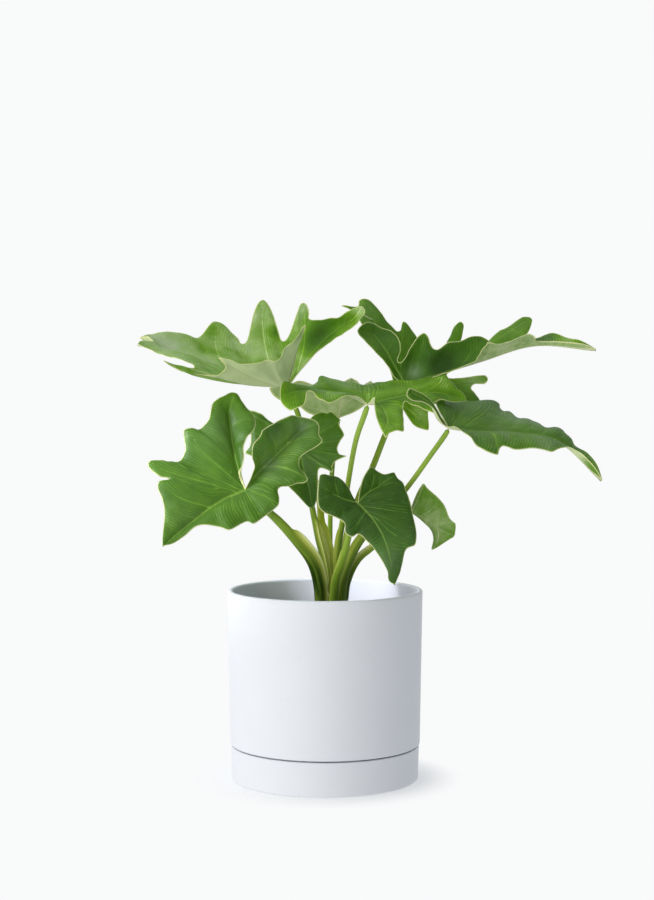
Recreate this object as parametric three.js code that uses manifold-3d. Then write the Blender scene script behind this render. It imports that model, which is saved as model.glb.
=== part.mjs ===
// Philodendron selloum in a round pot with a saucer. Millimetres, +Z up, the saucer's foot at Z = 0,
// the pot's axis on the Z axis and the plant's front towards -Y.
import * as THREE from "three";
import Module from "manifold-3d";
import { mergeVertices } from "three/addons/utils/BufferGeometryUtils.js";

// Driving dimensions.
const potDiameter = 150;
const potTop = 145.5; // height of the rim over the table
const potTaper = 1.9; // how much smaller the radius is at the pot's lower edge
const wall = 3.8;
const saucerHeight = 26;
const shadowGap = 1.1; // between the saucer's rim and the pot's lower edge
const saucerFloor = 4;
const seat = 0.3; // gap left between pieces that touch
const potFloorThickness = 8;
const drainRadius = 9;
const soilBelowRim = 25.5;
const bladeThickness = 0.8;
const stemEndRadius = 0.7; // where a petiole meets its blade

// Leaf tables. base is the point where the petiole meets the blade: X, Y and Z in the plant's frame.
// Every other place on a blade is measured from it, along X, Y and Z.
// tip and margin points may end with a sharpness, from 0 for a round bend to 1 for a corner.
// A margin point starts with its reach: where the vein that feeds it leaves the midrib, from 1 at
// the tip to 0 at the base, and below 0 along the hind rib, to -1 at that rib's end.
// bulge is how far each half swells from its veins. foot is X, Y and radius on the crown, and each
// petiole point is X, Y, Z and radius.

// Hangs low at the front, its face to the front.
const frontLeaf = {
  name: "front_leaf",
  base: [24.5, -40, 215],
  tip: [26, -46, -56, 0.6],
  midrib: [[11, -12, -11], [20, -26, -27.5]],
  hindRibs: [[[6, 2, 6.5], [16, 6, 12.5]], [[-9.5, -3, 3], [-18, -4, 7]]],
  bulge: [2, 2],
  margins: [
    [
      [0.88, 31.5, -33, -44.5], [0.75, 33, -28, -37], [0.55, 35.5, -24, -32],
      [0.2, 41.5, -22, -29.5, 0.3], [0.15, 43, -17, -23], [0.1, 42, -10, -15], [0, 39.5, -2, -2],
      [-0.5, 36, 4, 8.5], [-0.9, 34, 7, 14.5], [-1, 30, 9, 18], [-1, 27.5, 11, 22, 0.6],
      [-1, 21, 11, 20.5], [-0.9, 15.5, 13, 22.5], [-0.6, 10, 14, 26, 0.6], [-0.3, 5.5, 8, 21],
      [-0.1, 2.5, 3, 14],
    ],
    [
      [0.93, 22, -41, -53.5], [0.85, 21, -36, -47], [0.52, 11.5, -24, -32], [0.35, 5.5, -20, -26],
      [0.22, 0, -15, -22], [0.15, -4.5, -16, -24, 0.3], [0.12, -9.5, -15, -21],
      [0.06, -10, -12, -14.5], [0, -13.5, -10, -11.5], [-0.8, -27, -10, -5], [-1, -30, -8, 2],
      [-1, -28.5, -1, 20.5, 0.5], [-1, -24, 2, 21], [-0.8, -17, 6, 19.5], [-0.5, -11, 6, 16],
      [-0.25, -6.5, 3, 10.5], [0, -3.5, 1, 3.5],
    ],
  ],
  foot: [4.6, -14, 3.2],
  petiole: [
    [6.5, -15.5, 139, 3.1], [8.5, -21, 155, 2.9], [13.5, -28, 171, 2.6], [16.5, -32, 184, 2.4],
    [19.5, -34.5, 198, 2.2], [22.5, -36, 208, 2],
  ],
};

// Largest low leaf, hangs at the left, its face to the front.
const leftLeaf = {
  name: "left_leaf",
  base: [-59.5, -44, 225],
  tip: [-58.5, -32, -38.5, 0.6],
  midrib: [[-17, -6, -7], [-40, -16, -23.5]],
  hindRibs: [
    [[9.5, 3, 12.5], [24.5, 11, 27], [40, 19, 42.5]],
    [[-7, 9, 20.5], [-10.5, 19, 36.5], [-13.5, 30, 57.5]],
  ],
  bulge: [2, 2],
  margins: [
    [
      [0.93, -52, -30, -37.5], [0.85, -45, -26, -33.5], [0.62, -33, -18, -25],
      [0.35, -18, -15, -26.5], [0.25, -11, -16, -28.5, 0.2], [0.1, 1.5, -8, -23],
      [0.05, 6.5, -9, -24.5, 0.2], [0, 13, -7, -20.5], [-0.02, 24.5, -5, -11.5, 0.3],
      [-0.02, 25.5, -3, -6.5], [-0.16, 25, -1, 1], [-0.2, 33, -2, 3], [-0.28, 39, -3, 5],
      [-0.34, 44.5, -2, 5.5], [-0.38, 46.5, -1, 8, 0.3], [-0.42, 44.5, 0, 12],
      [-0.46, 40.5, 3, 17], [-0.5, 40.5, 4, 23], [-0.56, 44, 5, 26.5], [-0.8, 57, 6, 35.5],
      [-0.9, 55, 10, 41], [-1, 55, 15, 47], [-1, 52.5, 18, 51], [-1, 48, 19, 52.5, 0.3],
      [-1, 40.5, 18, 54], [-0.9, 33.5, 13, 55], [-0.58, 13, -2, 44.5, 0.3], [-0.5, 11.5, -3, 40.5],
      [-0.4, 6.5, -6, 34.5], [-0.3, 5.5, -7, 27], [-0.17, 7, -5, 16.5],
    ],
    [
      [0.95, -59, -29, -35.5], [0.65, -58.5, -18, -15], [0.52, -60.5, -14, -5.5],
      [0.42, -64, -11, 2], [0.38, -63, -9, 7], [0.3, -55, -6.5, 8.5, 0.7], [0.08, -63.5, -6, 10.5],
      [0.08, -72, -2, 18, 0.2], [0.08, -70.5, 0, 21.5], [0.08, -61, 3, 22], [0.07, -57.5, 2, 21],
      [0.02, -49, 6, 21.5], [0, -45, 10, 30], [0, -46.5, 13, 39], [-0.25, -46.5, 15, 44, 0.3],
      [-0.3, -41, 16, 45.5], [-0.35, -35.5, 17, 44.5], [-0.52, -28.5, 20, 51.5],
      [-0.8, -26, 28, 63.5], [-0.95, -22.5, 31, 67], [-1, -17.5, 35, 69.5], [-1, -12.5, 38, 72],
      [-1, -7.5, 38, 71], [-0.98, -3, 34, 64], [-0.88, 5.5, 26, 54.5], [-0.78, 7, 22, 48.5],
      [-0.68, 5.5, 17, 43.5], [-0.6, 1, 14, 38], [-0.48, -1.5, 10, 31.5], [-0.32, -1, 6, 23],
      [-0.18, -3, 4, 17], [-0.14, -5, 3, 12],
    ],
  ],
  foot: [-3.8, -7, 3.8],
  petiole: [
    [-4, -8.5, 138, 3.8], [-5.5, -13, 154, 4], [-10.5, -20, 170, 4], [-22, -27, 186, 3.6],
    [-35.5, -33, 201.5, 3.2], [-48, -37.5, 213, 2.3],
  ],
};

// Behind the left leaf.
const innerLeaf = {
  name: "inner_leaf",
  base: [-19.5, 4, 255.5],
  tip: [10, -20, -46.5],
  midrib: [[2.5, -6, -16.5], [7, -12, -31.5]],
  hindRibs: [null, null],
  bulge: [0, 0],
  margins: [
    [
      [0.95, 12, -18, -43.5], [0.8, 13.5, -15, -37], [0.35, 14.5, -10, -18], [0.2, 17, -11, -16],
      [0.05, 25, -16, -19.5, 0.6], [0.04, 25.5, -15, -17.5], [0.03, 24.5, -13, -15.5],
      [0.02, 27.5, -12, -11], [0.02, 35.5, -12, -7.5, 0.7], [0.01, 30.5, -9, -6],
      [0, 29, -6, -1.5], [0, 31, -4, 4], [0, 34, -4, 9, 0.3], [0, 30, 1, 17.5],
      [0, 31.5, 1, 20, 0.5], [0, 24, 6, 26.5, 0.3], [0, 21.5, 6, 25.5], [0, 15.5, 6, 26],
      [0, 7.5, 5, 20.5],
    ],
    [
      [0.95, 7, -19, -45.5], [0.7, -1.5, -13, -37], [0.5, -8.5, -10, -30.5, 0.3],
      [0.4, -13, -8, -25.5], [0.28, -17, -4, -18.5], [0.12, -32.5, 4, -9.5],
      [0.06, -42.5, 8, -5.5, 0.5], [0.02, -39, 8, -0.5], [0, -38, 10, 7.5],
      [0, -40.5, 16, 26.5, 0.4], [0, -33.5, 14, 26], [0, -21, 10, 17.5], [0, -5.5, 2, 6],
    ],
  ],
  foot: [3.2, -5, 2.6],
  petiole: [
    [2, -4.5, 137.5, 2.6], [1.5, -3, 153, 2.6], [-1, -1, 168, 2.5], [-5, 1.5, 183.5, 2.4],
    [-8, 3.5, 198.5, 2.3], [-13, 5.5, 223, 2.1], [-17, 6.5, 238.5, 2],
  ],
};

// Level leaf over the middle, bright green, a lobe hanging at each side of its stalk.
const middleLeaf = {
  name: "middle_leaf",
  base: [32.5, -8, 288],
  tip: [77, 22, 3.5, 0.6],
  midrib: [[25, 10, 6.5], [52, 18, 9.5]],
  hindRibs: [
    [[-13.5, 10, 7.5], [-33, 12, 11], [-52, 5, 11], [-59.5, 0, 9]],
    [[7.5, -9, 1.5], [13, -24, -5.5], [14.5, -38, -14]],
  ],
  bulge: [1, 1],
  margins: [
    [
      [0.95, 74.5, 25, 8], [0.75, 64.5, 33, 18], [0.65, 62, 36, 22, 0.5], [0.4, 41.5, 41, 17.5],
      [0.25, 26, 43, 17.5], [0, -1.5, 42, 14.5], [-0.15, -15, 42, 15.5], [-0.5, -37, 44, 21, 0.6],
      [-0.55, -38.5, 38, 16.5], [-0.68, -45.5, 28, 13], [-0.85, -54.5, 18, 14.5],
      [-1, -64.5, 11, 17, 0.2], [-1, -66.5, -6, 4], [-1, -60, -17, -3.5], [-0.95, -53, -20, -2.5],
      [-0.85, -48, -18, 0.5], [-0.8, -47, -12, 6.5], [-0.68, -44, -4, 10], [-0.6, -39.5, -12, 6.5],
      [-0.44, -29, -22, 1.5], [-0.26, -19, -14, 6], [-0.12, -7.5, -6, 6],
    ],
    [
      [0.95, 76, 19, 2], [0.75, 63, 8, 2], [0.62, 55, 2, 3.5], [0.5, 50, -6, 0],
      [0.4, 49.5, -14, -6, 0.6], [0.29, 37.5, -10, -1.5], [0.23, 32.5, -9, 0], [0.06, 28.5, -7, 2],
      [0, 26.5, -12, -1.5], [-0.9, 26, -35, -15], [-1, 25.5, -42, -19, 0.3],
      [-1, 20.5, -45, -18.5], [-1, 15, -48, -20.5], [-1, 12, -51, -23.5, 0.5], [-0.6, 6, -35, -10],
      [-0.3, 4.5, -19, -0.5], [-0.12, 5, -7, 5.5],
    ],
  ],
  foot: [9, 0, 2.5],
  petiole: [
    [10, -0.5, 137, 2.5], [10, -1, 152.5, 2.5], [10, -2, 168, 2.4], [11, -3, 183.5, 2.3],
    [13.5, -4, 199, 2.2], [17.5, -5, 227.5, 2], [23.5, -6, 260.5, 2], [30.5, -7, 281.5, 2.2],
  ],
};

// Long level leaf to the right, its tip hanging.
const rightLeaf = {
  name: "right_leaf",
  base: [94, -15, 270],
  tip: [116, -5, -39, 0.6],
  midrib: [[22, 1, -1.5], [54.5, 5, -3], [85, 7, -9.5]],
  hindRibs: [null, [[-7, -4, 6], [-14.5, -13, 19], [-28.5, -19, 27]]],
  bulge: [2, 2],
  margins: [
    [
      [0.92, 113, 2, -28], [0.86, 107.5, 7, -20.5], [0.76, 97, 15, -13], [0.72, 95, 20, -8.5],
      [0.62, 88, 27, -1.5, 0.2], [0.55, 76.5, 29, -0.5], [0.42, 66, 39, 5], [0.36, 57.5, 41, 5.5],
      [0.25, 51, 49, 11, 0.2], [0.2, 46.5, 48, 11.5], [0.16, 43.5, 49, 14.5], [0.12, 43, 52, 17.5],
      [0.08, 38.5, 55, 20.5, 0.2], [0.03, 29, 55, 19.5], [0, 18.5, 51, 19.5], [0, 7.5, 41, 19.5],
      [0, -7, 19, 20.5, 0.5], [0, -9, 9, 17.5], [0, -5, 1.5, 8.5],
    ],
    [
      [0.9, 108, -4, -26.5], [0.75, 91.5, -3, -14.5], [0.6, 77, -10, -17.5, 0.5],
      [0.52, 69.5, -11, -15.5], [0.44, 60, -14, -14.5], [0.36, 48, -19, -15.5],
      [0.28, 39.5, -21, -12.5], [0.25, 36.5, -24, -14], [0.22, 34, -29, -19, 0.5],
      [0.12, 20.5, -26, -13], [0.06, 14.5, -21, -6.5], [0, 4, -9, 1.5], [0, -0.5, -4, 1.5],
      [-0.1, -5, -6, 3.5], [-0.5, -12.5, -14, 15], [-0.75, -20.5, -18, 20], [-1, -29, -22, 21.5],
      [-1, -33, -23, 25.5], [-1, -30.5, -20, 30.5, 0.3], [-0.6, -15, -12, 22],
      [-0.08, -4, -2, 5.5],
    ],
  ],
  foot: [12.6, -7, 3.5],
  petiole: [
    [12.5, -7, 138, 3.4], [14, -7.5, 153.5, 3.4], [19, -8.5, 169, 3.2], [26.5, -9.5, 183.5, 3],
    [42, -11, 201.5, 2.3], [61.5, -12.5, 223.5, 2], [82, -14, 252, 2], [90.5, -14.5, 264, 2.1],
  ],
};

// Highest leaf, to the left, its near half folded up.
const topLeftLeaf = {
  name: "top_left_leaf",
  base: [-29.5, 16, 301],
  tip: [-113.5, -20, 33, 0.6],
  midrib: [[-19, -6, 4.5], [-43.5, -12, 11], [-74, -14, 26]],
  hindRibs: [[[2.5, -8, 14.5], [8, -16, 32.5]], [[12.5, 10, 19.5], [27, 18, 36.5], [45, 26, 51]]],
  bulge: [-4, -6],
  margins: [
    [
      [0.86, -97.5, -28, 26], [0.7, -77.5, -38, 20.5], [0.4, -69, -39, 15.5],
      [0.05, -76.5, -45, 15.5], [0.05, -91, -56, 20, 0.7], [0.05, -84.5, -53, 15.5],
      [0.05, -78.5, -48, 12.5], [0.05, -72, -45, 11], [0.05, -53, -35, 9], [0.05, -48, -37, 12],
      [0.05, -45.5, -39, 16], [0.05, -50, -47, 22, 0.6], [0.04, -42.5, -46, 21],
      [0.03, -34.5, -44, 18], [0.02, -23, -41, 18], [0.01, -14.5, -36, 20.5], [0, -8.5, -32, 20],
      [-0.2, -3.5, -30, 23.5], [-0.4, -1.5, -30, 29], [-0.7, 3, -28, 33], [-1, 9, -26, 39.5],
      [-1, 14.5, -24, 47.5, 0.5], [-1, 13.5, -20, 42], [-0.85, 9.5, -16, 34],
      [-0.15, 4.5, -4, 12.5],
    ],
    [
      [0.97, -111.5, -17, 35.5], [0.92, -102.5, -10, 35.5], [0.7, -105.5, -8, 38.5],
      [0.56, -109.5, -6, 39], [0.55, -114, -6, 38, 0.7], [0.55, -106.5, 2, 41],
      [0.53, -90.5, 15, 43], [0.52, -81.5, 20, 41.5], [0.5, -72, 24, 38.5], [0.46, -68, 28, 41],
      [0.36, -60, 42, 51.5, 0.1], [0.3, -53, 44, 50.5], [0.25, -45.5, 42, 43.5],
      [0.21, -40, 38, 38.5], [0.19, -36.5, 34, 34], [0.16, -32.5, 37, 37], [0.1, -27.5, 56, 60.5],
      [0.07, -21.5, 64, 69.5, 0.2], [0.05, -15, 60, 63.5], [0.02, -7.5, 44, 43], [0, -4, 38, 36],
      [-0.06, 0.5, 40, 40.5], [-0.18, 8, 52, 62], [-0.22, 11.5, 56, 67.5, 0.2],
      [-0.28, 16, 50, 62.5], [-0.36, 17, 42, 54], [-0.55, 25.5, 34, 53], [-0.75, 34, 30, 54.5],
      [-0.88, 39.5, 30, 54.5], [-1, 47, 32, 59.5], [-1, 58, 34, 63.5], [-1, 61, 31, 60, 0.3],
      [-1, 58, 26, 54], [-0.95, 52, 20, 47], [-0.6, 33.5, 12, 35], [-0.32, 19.5, 6, 23.5],
    ],
  ],
  foot: [3, 2.5, 2.6],
  petiole: [
    [4.5, 3, 136.5, 2.6], [5.5, 4.5, 152, 2.7], [4, 6, 167.5, 2.7], [0.5, 8, 182.5, 2.7],
    [-3, 10.5, 198, 2.7], [-4, 12.5, 211, 2.4], [-8.5, 16, 232.5, 2.1], [-15.5, 19, 260, 2],
    [-21.5, 19.5, 281, 2], [-26.5, 18, 293, 2.1],
  ],
};

// High leaf to the right, its edges rolled.
const topRightLeaf = {
  name: "top_right_leaf",
  base: [63, 40, 303.5],
  tip: [147.5, -20, 27, 0.6],
  midrib: [[19.5, -3, 6], [58.5, -7, 18.5], [101.5, -10, 31]],
  hindRibs: [[[-6, 4, 10.5], [-14.5, 12, 26.5], [-24, 17, 39.5]], null],
  bulge: [-3, 0],
  margins: [
    [
      [0.92, 136, -13, 34], [0.88, 128.5, -9, 35.5], [0.78, 116, 0, 40], [0.74, 110.5, 1, 38.5],
      [0.68, 104.5, -2, 36], [0.5, 79, 0, 31], [0.42, 69, 3, 32], [0.38, 65, 6, 35],
      [0.34, 60, 10, 37.5, 0.2], [0.28, 52, 11, 37], [0.22, 44, 10, 33.5], [0.17, 34.5, 9, 32.5],
      [0.1, 24, 6, 27], [0.05, 18.5, 10, 37.5], [0.03, 15.5, 12, 40, 0.2], [0.01, 10.5, 11, 37],
      [0, 5, 8, 29.5], [-0.1, -2.5, 2, 17], [-0.22, -6, 4, 18], [-0.42, -3, 10, 27.5],
      [-0.6, -4.5, 14, 35.5], [-0.8, -10.5, 18, 42], [-1, -17.5, 21, 44], [-1, -24, 23, 48],
      [-1, -29.5, 22, 49], [-1, -34.5, 20, 46, 0.5], [-1, -37, 17, 41.5], [-0.85, -30.5, 11, 32.5],
      [-0.3, -13.5, 2, 14], [-0.08, -8, 0, 4.5],
    ],
    [
      [0.93, 137.5, -19, 31], [0.81, 116, -17, 33], [0.75, 107, -16, 33], [0.7, 100.5, -22, 33.5],
      [0.66, 99.5, -26, 36, 0.5], [0.6, 93, -28, 38], [0.5, 78, -31, 31.5], [0.46, 72, -30, 30.5],
      [0.42, 64, -30, 32], [0.4, 62.5, -29, 32.5, 0.4], [0.35, 56.5, -19, 21.5],
      [0.32, 54.5, -15, 17], [0.13, 31, -9, 8], [0.01, 4, -2, -1],
    ],
  ],
  foot: [11, 8.5, 2.5],
  petiole: [
    [13.5, 9, 136, 2.4], [14.5, 11.5, 155, 2.3], [16, 14.5, 174.5, 2.2], [19.5, 18, 193.5, 2.1],
    [26.5, 23, 216.5, 2], [36.5, 27, 237.5, 2], [46.5, 32, 262.5, 1.9], [58.5, 37.5, 290.5, 2],
  ],
};

// Small leaf low at the right, its underside to the front.
const smallLeaf = {
  name: "small_leaf",
  base: [66, -6, 205],
  tip: [31.5, -24, -16],
  midrib: [[10.5, -8, -4.5], [21, -16, -11.5]],
  hindRibs: [null, null],
  bulge: [0, 0],
  margins: [
    [
      [0.85, 26, -25, -19], [0.62, 14.5, -24, -26, 0.6], [0.56, 15.5, -21, -19],
      [0.38, 14.5, -17, -12.5], [0.15, 9.5, -11, -7],
    ],
    [
      [0.75, 32.5, -20, -7, 0.5], [0.6, 28.5, -18, -3], [0.3, 23.5, -14, 8], [0.04, 11, -6, 20.5],
      [0, 8, -4, 22.5, 0.2], [0, 0.5, -1, 5.5],
    ],
  ],
  foot: [13.5, 2.5, 2.2],
  petiole: [
    [15.5, 2, 137, 2.2], [18, 1.5, 152.5, 2.3], [25.5, 0, 168, 2.3], [37, -2, 178, 1.8],
    [56, -5, 197, 1.5],
  ],
};

// Behind the middle leaf, leaning back, its underside to the front.
const backLeaf = {
  name: "back_leaf",
  base: [10.5, 72, 275.5],
  tip: [10, -24, 32.5],
  midrib: [[2.5, -11, 14.5], [6.5, -18, 24.5]],
  hindRibs: [null, null],
  bulge: [0, 0],
  margins: [
    [
      [0.95, 15, -22, 30], [0.8, 18, -20, 27], [0.6, 22, -20.5, 27.5], [0.42, 26, -22, 30, 0.4],
      [0.3, 32, -13, 18], [0.05, 22.5, -8.5, 11.5], [0, 13.5, -3.5, 5],
    ],
    [
      [0.85, -1.5, -20, 27], [0.7, -13, -18, 24.5], [0.48, -21, -20.5, 27.5],
      [0.44, -32, -22, 30, 0.3], [0.36, -38.5, -20.5, 27.5], [0.22, -54.5, -18, 24.5, 0.4],
      [0.12, -49.5, -12, 16.5], [0.02, -34, -8.5, 11.5], [0, -23.5, -3, 4], [0, -9, 0, 0],
    ],
  ],
  foot: [5.5, 8, 2],
  petiole: [
    [5, 9, 143.5, 2], [4, 15, 169, 1.9], [4, 27, 196.5, 1.8], [5, 42, 227, 1.8], [8, 61, 258, 1.8],
  ],
};

// Behind the top right leaf, upright.
const farLeaf = {
  name: "far_leaf",
  base: [58, 52, 289.5],
  tip: [108.5, 32, 67.5, 0.5],
  midrib: [[22, 8, 14.5], [49, 16, 31], [79, 23, 49]],
  hindRibs: [[[-0.5, 10, 16.5], [-7.5, 22, 41], [-18.5, 32, 65.5]], [[8, -2, -6.5], [16.5, -4, -13.5]]],
  bulge: [0, 0],
  margins: [
    [
      [0.96, 102, 32, 67.5], [0.86, 88.5, 30, 58.5], [0.8, 83, 30, 56], [0.7, 74, 28, 48],
      [0.62, 66, 28, 42.5], [0.55, 58, 28, 41], [0.48, 52.5, 31, 45], [0.43, 52.5, 34, 53],
      [0.4, 54.5, 36, 61.5], [0.38, 52, 37, 64, 0.2], [0.35, 47, 36, 59.5], [0.24, 36.5, 28, 37],
      [0.16, 28.5, 27, 33], [0.08, 19.5, 29, 41], [0.04, 16, 32, 51.5], [0.02, 11, 34, 59.5],
      [0, 5.5, 36, 64, 0.3], [-0.1, 3.5, 34, 57], [-0.25, -0.5, 34, 56.5], [-1, -20.5, 38, 80.5],
      [-1, -26.5, 38, 82.5], [-1, -30.5, 36, 81, 0.3], [-1, -31.5, 35, 76.5],
      [-1, -44.5, 34, 77, 0.6], [-1, -36, 33, 72.5], [-1, -30.5, 32, 65.5], [-0.85, -25, 28, 55.5],
      [-0.42, -8.5, 15, 31],
    ],
    [
      [0.97, 110, 31, 65], [0.9, 105.5, 28, 54], [0.82, 96.5, 25, 47.5], [0.42, 42, 13, 23],
      [0.35, 39.5, 12, 20.5], [0.27, 43, 12, 17.5], [0.16, 70, 17, 20.5, 0.1],
      [0.15, 73, 17, 17.5], [0.14, 70.5, 16, 14], [0.13, 63, 14, 13.5], [0.12, 59, 12, 10.5],
      [0.11, 62, 12, 6.5], [0.1, 66, 10, 0], [0.09, 64, 6, -9, 0.3], [0.08, 51.5, 4, -8],
      [0.04, 37.5, 2, -3], [-0.3, 27, 0, -3], [-0.7, 24, -1, -8.5], [-1, 24, -6, -22.5, 0.5],
      [-0.95, 17, -6, -21.5], [-0.75, 11.5, -5, -18], [-0.1, 3, -1, -5],
    ],
  ],
  foot: [8.5, 13.5, 2.2],
  petiole: [
    [13, 14.5, 135, 2.2], [14, 17, 153, 2.1], [16.5, 20.5, 172, 2], [19.5, 25, 191.5, 2],
    [26.5, 31, 214.5, 2], [37, 37.5, 235.5, 1.9], [47, 44, 260.5, 1.9], [55.5, 49.5, 281, 1.9],
  ],
};

const leaves = [
  frontLeaf,
  leftLeaf,
  innerLeaf,
  middleLeaf,
  rightLeaf,
  topLeftLeaf,
  topRightLeaf,
  smallLeaf,
  backLeaf,
  farLeaf,
];

// The crown: the short stem that all petioles rise from.
const crown = { x: 4, y: -1, halfWidth: 13, halfDepth: 19, top: 124, length: 29 };

// How finely things are divided.
const potSegments = 48;
const crownSegments = 24;
const stemSides = 8;
const stemStep = 24; // a longer stretch of petiole gets one more ring
const bladeRows = 3; // from the ribs out to the margin
const midribSteps = 6;
const hindRibSteps = 3;
const marginStep = 9;
const ribSamples = 8; // points on each span of a rib, to measure its length by
const fullBulgeReach = 30; // a vein shorter than this swells less

const wasm = await Module();
wasm.setup();

const finishes = {
  ceramic: { color: 0xdfe3e8, roughness: 0.75, metalness: 0 },
  soil: { color: 0x3b2c22, roughness: 0.95, metalness: 0 },
  crown: { color: 0x6f8a45, roughness: 0.6, metalness: 0 },
  petiole: { color: 0x7fa04c, roughness: 0.5, metalness: 0 },
  blade: { color: 0x3f7a35, roughness: 0.45, metalness: 0 },
};

function piece(name, geometry, finish) {
  const mesh = new THREE.Mesh(geometry, new THREE.MeshStandardMaterial(finish));
  mesh.name = name;
  return mesh;
}

// Points on a quarter circle in the lathe's half plane, between two angles in degrees.
function corner(r, z, radius, from, to, steps = 4) {
  const points = [];
  for (let i = 0; i <= steps; i++) {
    const angle = THREE.MathUtils.degToRad(from + ((to - from) * i) / steps);
    points.push(new THREE.Vector2(r + radius * Math.cos(angle), z + radius * Math.sin(angle)));
  }
  return points;
}

// A solid of revolution round Z from a profile of radius and height that closes or meets the axis.
function turned(profile) {
  const geometry = new THREE.LatheGeometry(profile, potSegments);
  geometry.rotateX(Math.PI / 2);
  return geometry;
}

const potRadius = potDiameter / 2;
const potBottom = saucerHeight + shadowGap;
const footRadius = 65.5;
const potFloor = saucerFloor + seat;
const innerFloor = potFloor + potFloorThickness;

// Radius of the pot's outside at a height over the table.
function potOutside(z) {
  return potRadius - (potTaper * (potTop - z)) / (potTop - potBottom);
}

function potInside(z) {
  return potOutside(z) - wall;
}

function pot() {
  const lip = 1.6;
  const edge = 1;
  const profile = [
    new THREE.Vector2(drainRadius, potFloor),
    new THREE.Vector2(footRadius, potFloor),
    new THREE.Vector2(footRadius, potBottom),
    ...corner(potOutside(potBottom) - edge, potBottom + edge, edge, -90, 0, 3),
    ...corner(potRadius - lip, potTop - lip, lip, 0, 90),
    ...corner(potInside(potTop) + lip, potTop - lip, lip, 90, 180),
    new THREE.Vector2(potInside(potBottom + wall), potBottom + wall),
    new THREE.Vector2(footRadius - wall, potBottom + wall),
    new THREE.Vector2(footRadius - wall, innerFloor),
    new THREE.Vector2(drainRadius, innerFloor),
    new THREE.Vector2(drainRadius, potFloor),
  ];
  return piece("pot", turned(profile), finishes.ceramic);
}

function saucer() {
  const foot = 71.8;
  const rim = 72.4;
  const rimWall = 3.4;
  const bend = 1.2;
  const lip = 0.8;
  const fillet = 1.4;
  const profile = [
    new THREE.Vector2(0, 0),
    ...corner(foot - bend, bend, bend, -90, 0),
    ...corner(rim - lip, saucerHeight - lip, lip, 0, 90, 3),
    ...corner(rim - rimWall + lip, saucerHeight - lip, lip, 90, 180, 3),
    ...corner(foot - rimWall - fillet, saucerFloor + fillet, fillet, 0, -90, 3),
    new THREE.Vector2(0, saucerFloor),
  ];
  return piece("saucer", turned(profile), finishes.ceramic);
}

// A closed mesh as a manifold solid, ready to be cut.
function solidOf(geometry) {
  geometry.deleteAttribute("normal");
  geometry.deleteAttribute("uv");
  const merged = mergeVertices(geometry);
  const vertProperties = merged.attributes.position.array;
  const triVerts = new Uint32Array(merged.index.array);
  return new wasm.Manifold(new wasm.Mesh({ numProp: 3, vertProperties, triVerts }));
}

function geometryOf(solid) {
  const mesh = solid.getMesh();
  const geometry = new THREE.BufferGeometry();
  geometry.setAttribute("position", new THREE.BufferAttribute(mesh.vertProperties, 3));
  geometry.setIndex(new THREE.BufferAttribute(mesh.triVerts, 1));
  return geometry;
}

// An upright oval post, from its foot up to its top.
function ovalPost(x, y, halfWidth, halfDepth, foot, top) {
  const outline = new THREE.Shape();
  outline.absellipse(x, y, halfWidth, halfDepth, 0, 2 * Math.PI);
  const geometry = new THREE.ExtrudeGeometry(outline, {
    depth: top - foot,
    bevelEnabled: false,
    curveSegments: crownSegments,
  });
  geometry.translate(0, 0, foot);
  return geometry;
}

// The soil fills the pot and has one plain hole for the crown.
function soil() {
  const foot = innerFloor + seat;
  const shoulder = potBottom + wall;
  const top = potTop - soilBelowRim;
  const overshoot = 10;
  const profile = [
    new THREE.Vector2(0, foot),
    new THREE.Vector2(footRadius - wall - seat, foot),
    new THREE.Vector2(footRadius - wall - seat, shoulder + seat),
    new THREE.Vector2(potInside(shoulder) - seat, shoulder + seat),
    new THREE.Vector2(potInside(top) - seat, top),
    new THREE.Vector2(0, top),
  ];
  const filling = solidOf(turned(profile));
  const hole = solidOf(
    ovalPost(
      crown.x,
      crown.y,
      crown.halfWidth + seat,
      crown.halfDepth + seat,
      crown.top - crown.length - seat,
      top + overshoot,
    ),
  );
  return piece("soil", geometryOf(filling.subtract(hole)), finishes.soil);
}

function crownPiece() {
  const { x, y, halfWidth, halfDepth, top, length } = crown;
  const geometry = ovalPost(x, y, halfWidth, halfDepth, top - length, top);
  return piece("crown", geometry, finishes.crown);
}

// Samples of a smooth curve through the points, each with the span it lies on and how far along.
// Every bend follows its neighbours, less so the sharper the point is.
function smoothCurve(points, sharpness, stepsOf) {
  const last = points.length - 1;
  const directions = points.map((point, i) =>
    points[Math.min(i + 1, last)].clone().sub(points[Math.max(i - 1, 0)]).normalize(),
  );
  const samples = [];
  for (let i = 0; i < last; i++) {
    const start = points[i];
    const end = points[i + 1];
    const length = start.distanceTo(end);
    const pullStart = directions[i].clone().multiplyScalar(length * (1 - sharpness[i]));
    const pullEnd = directions[i + 1].clone().multiplyScalar(length * (1 - sharpness[i + 1]));
    const steps = stepsOf(length);
    for (let j = 0; j < steps; j++) {
      const t = j / steps;
      const point = start.clone().multiplyScalar(2 * t ** 3 - 3 * t ** 2 + 1);
      point.addScaledVector(pullStart, t ** 3 - 2 * t ** 2 + t);
      point.addScaledVector(end, 3 * t ** 2 - 2 * t ** 3);
      point.addScaledVector(pullEnd, t ** 3 - t ** 2);
      samples.push({ span: i, along: t, point });
    }
  }
  samples.push({ span: last, along: 0, point: points[last].clone() });
  return samples;
}

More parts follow.
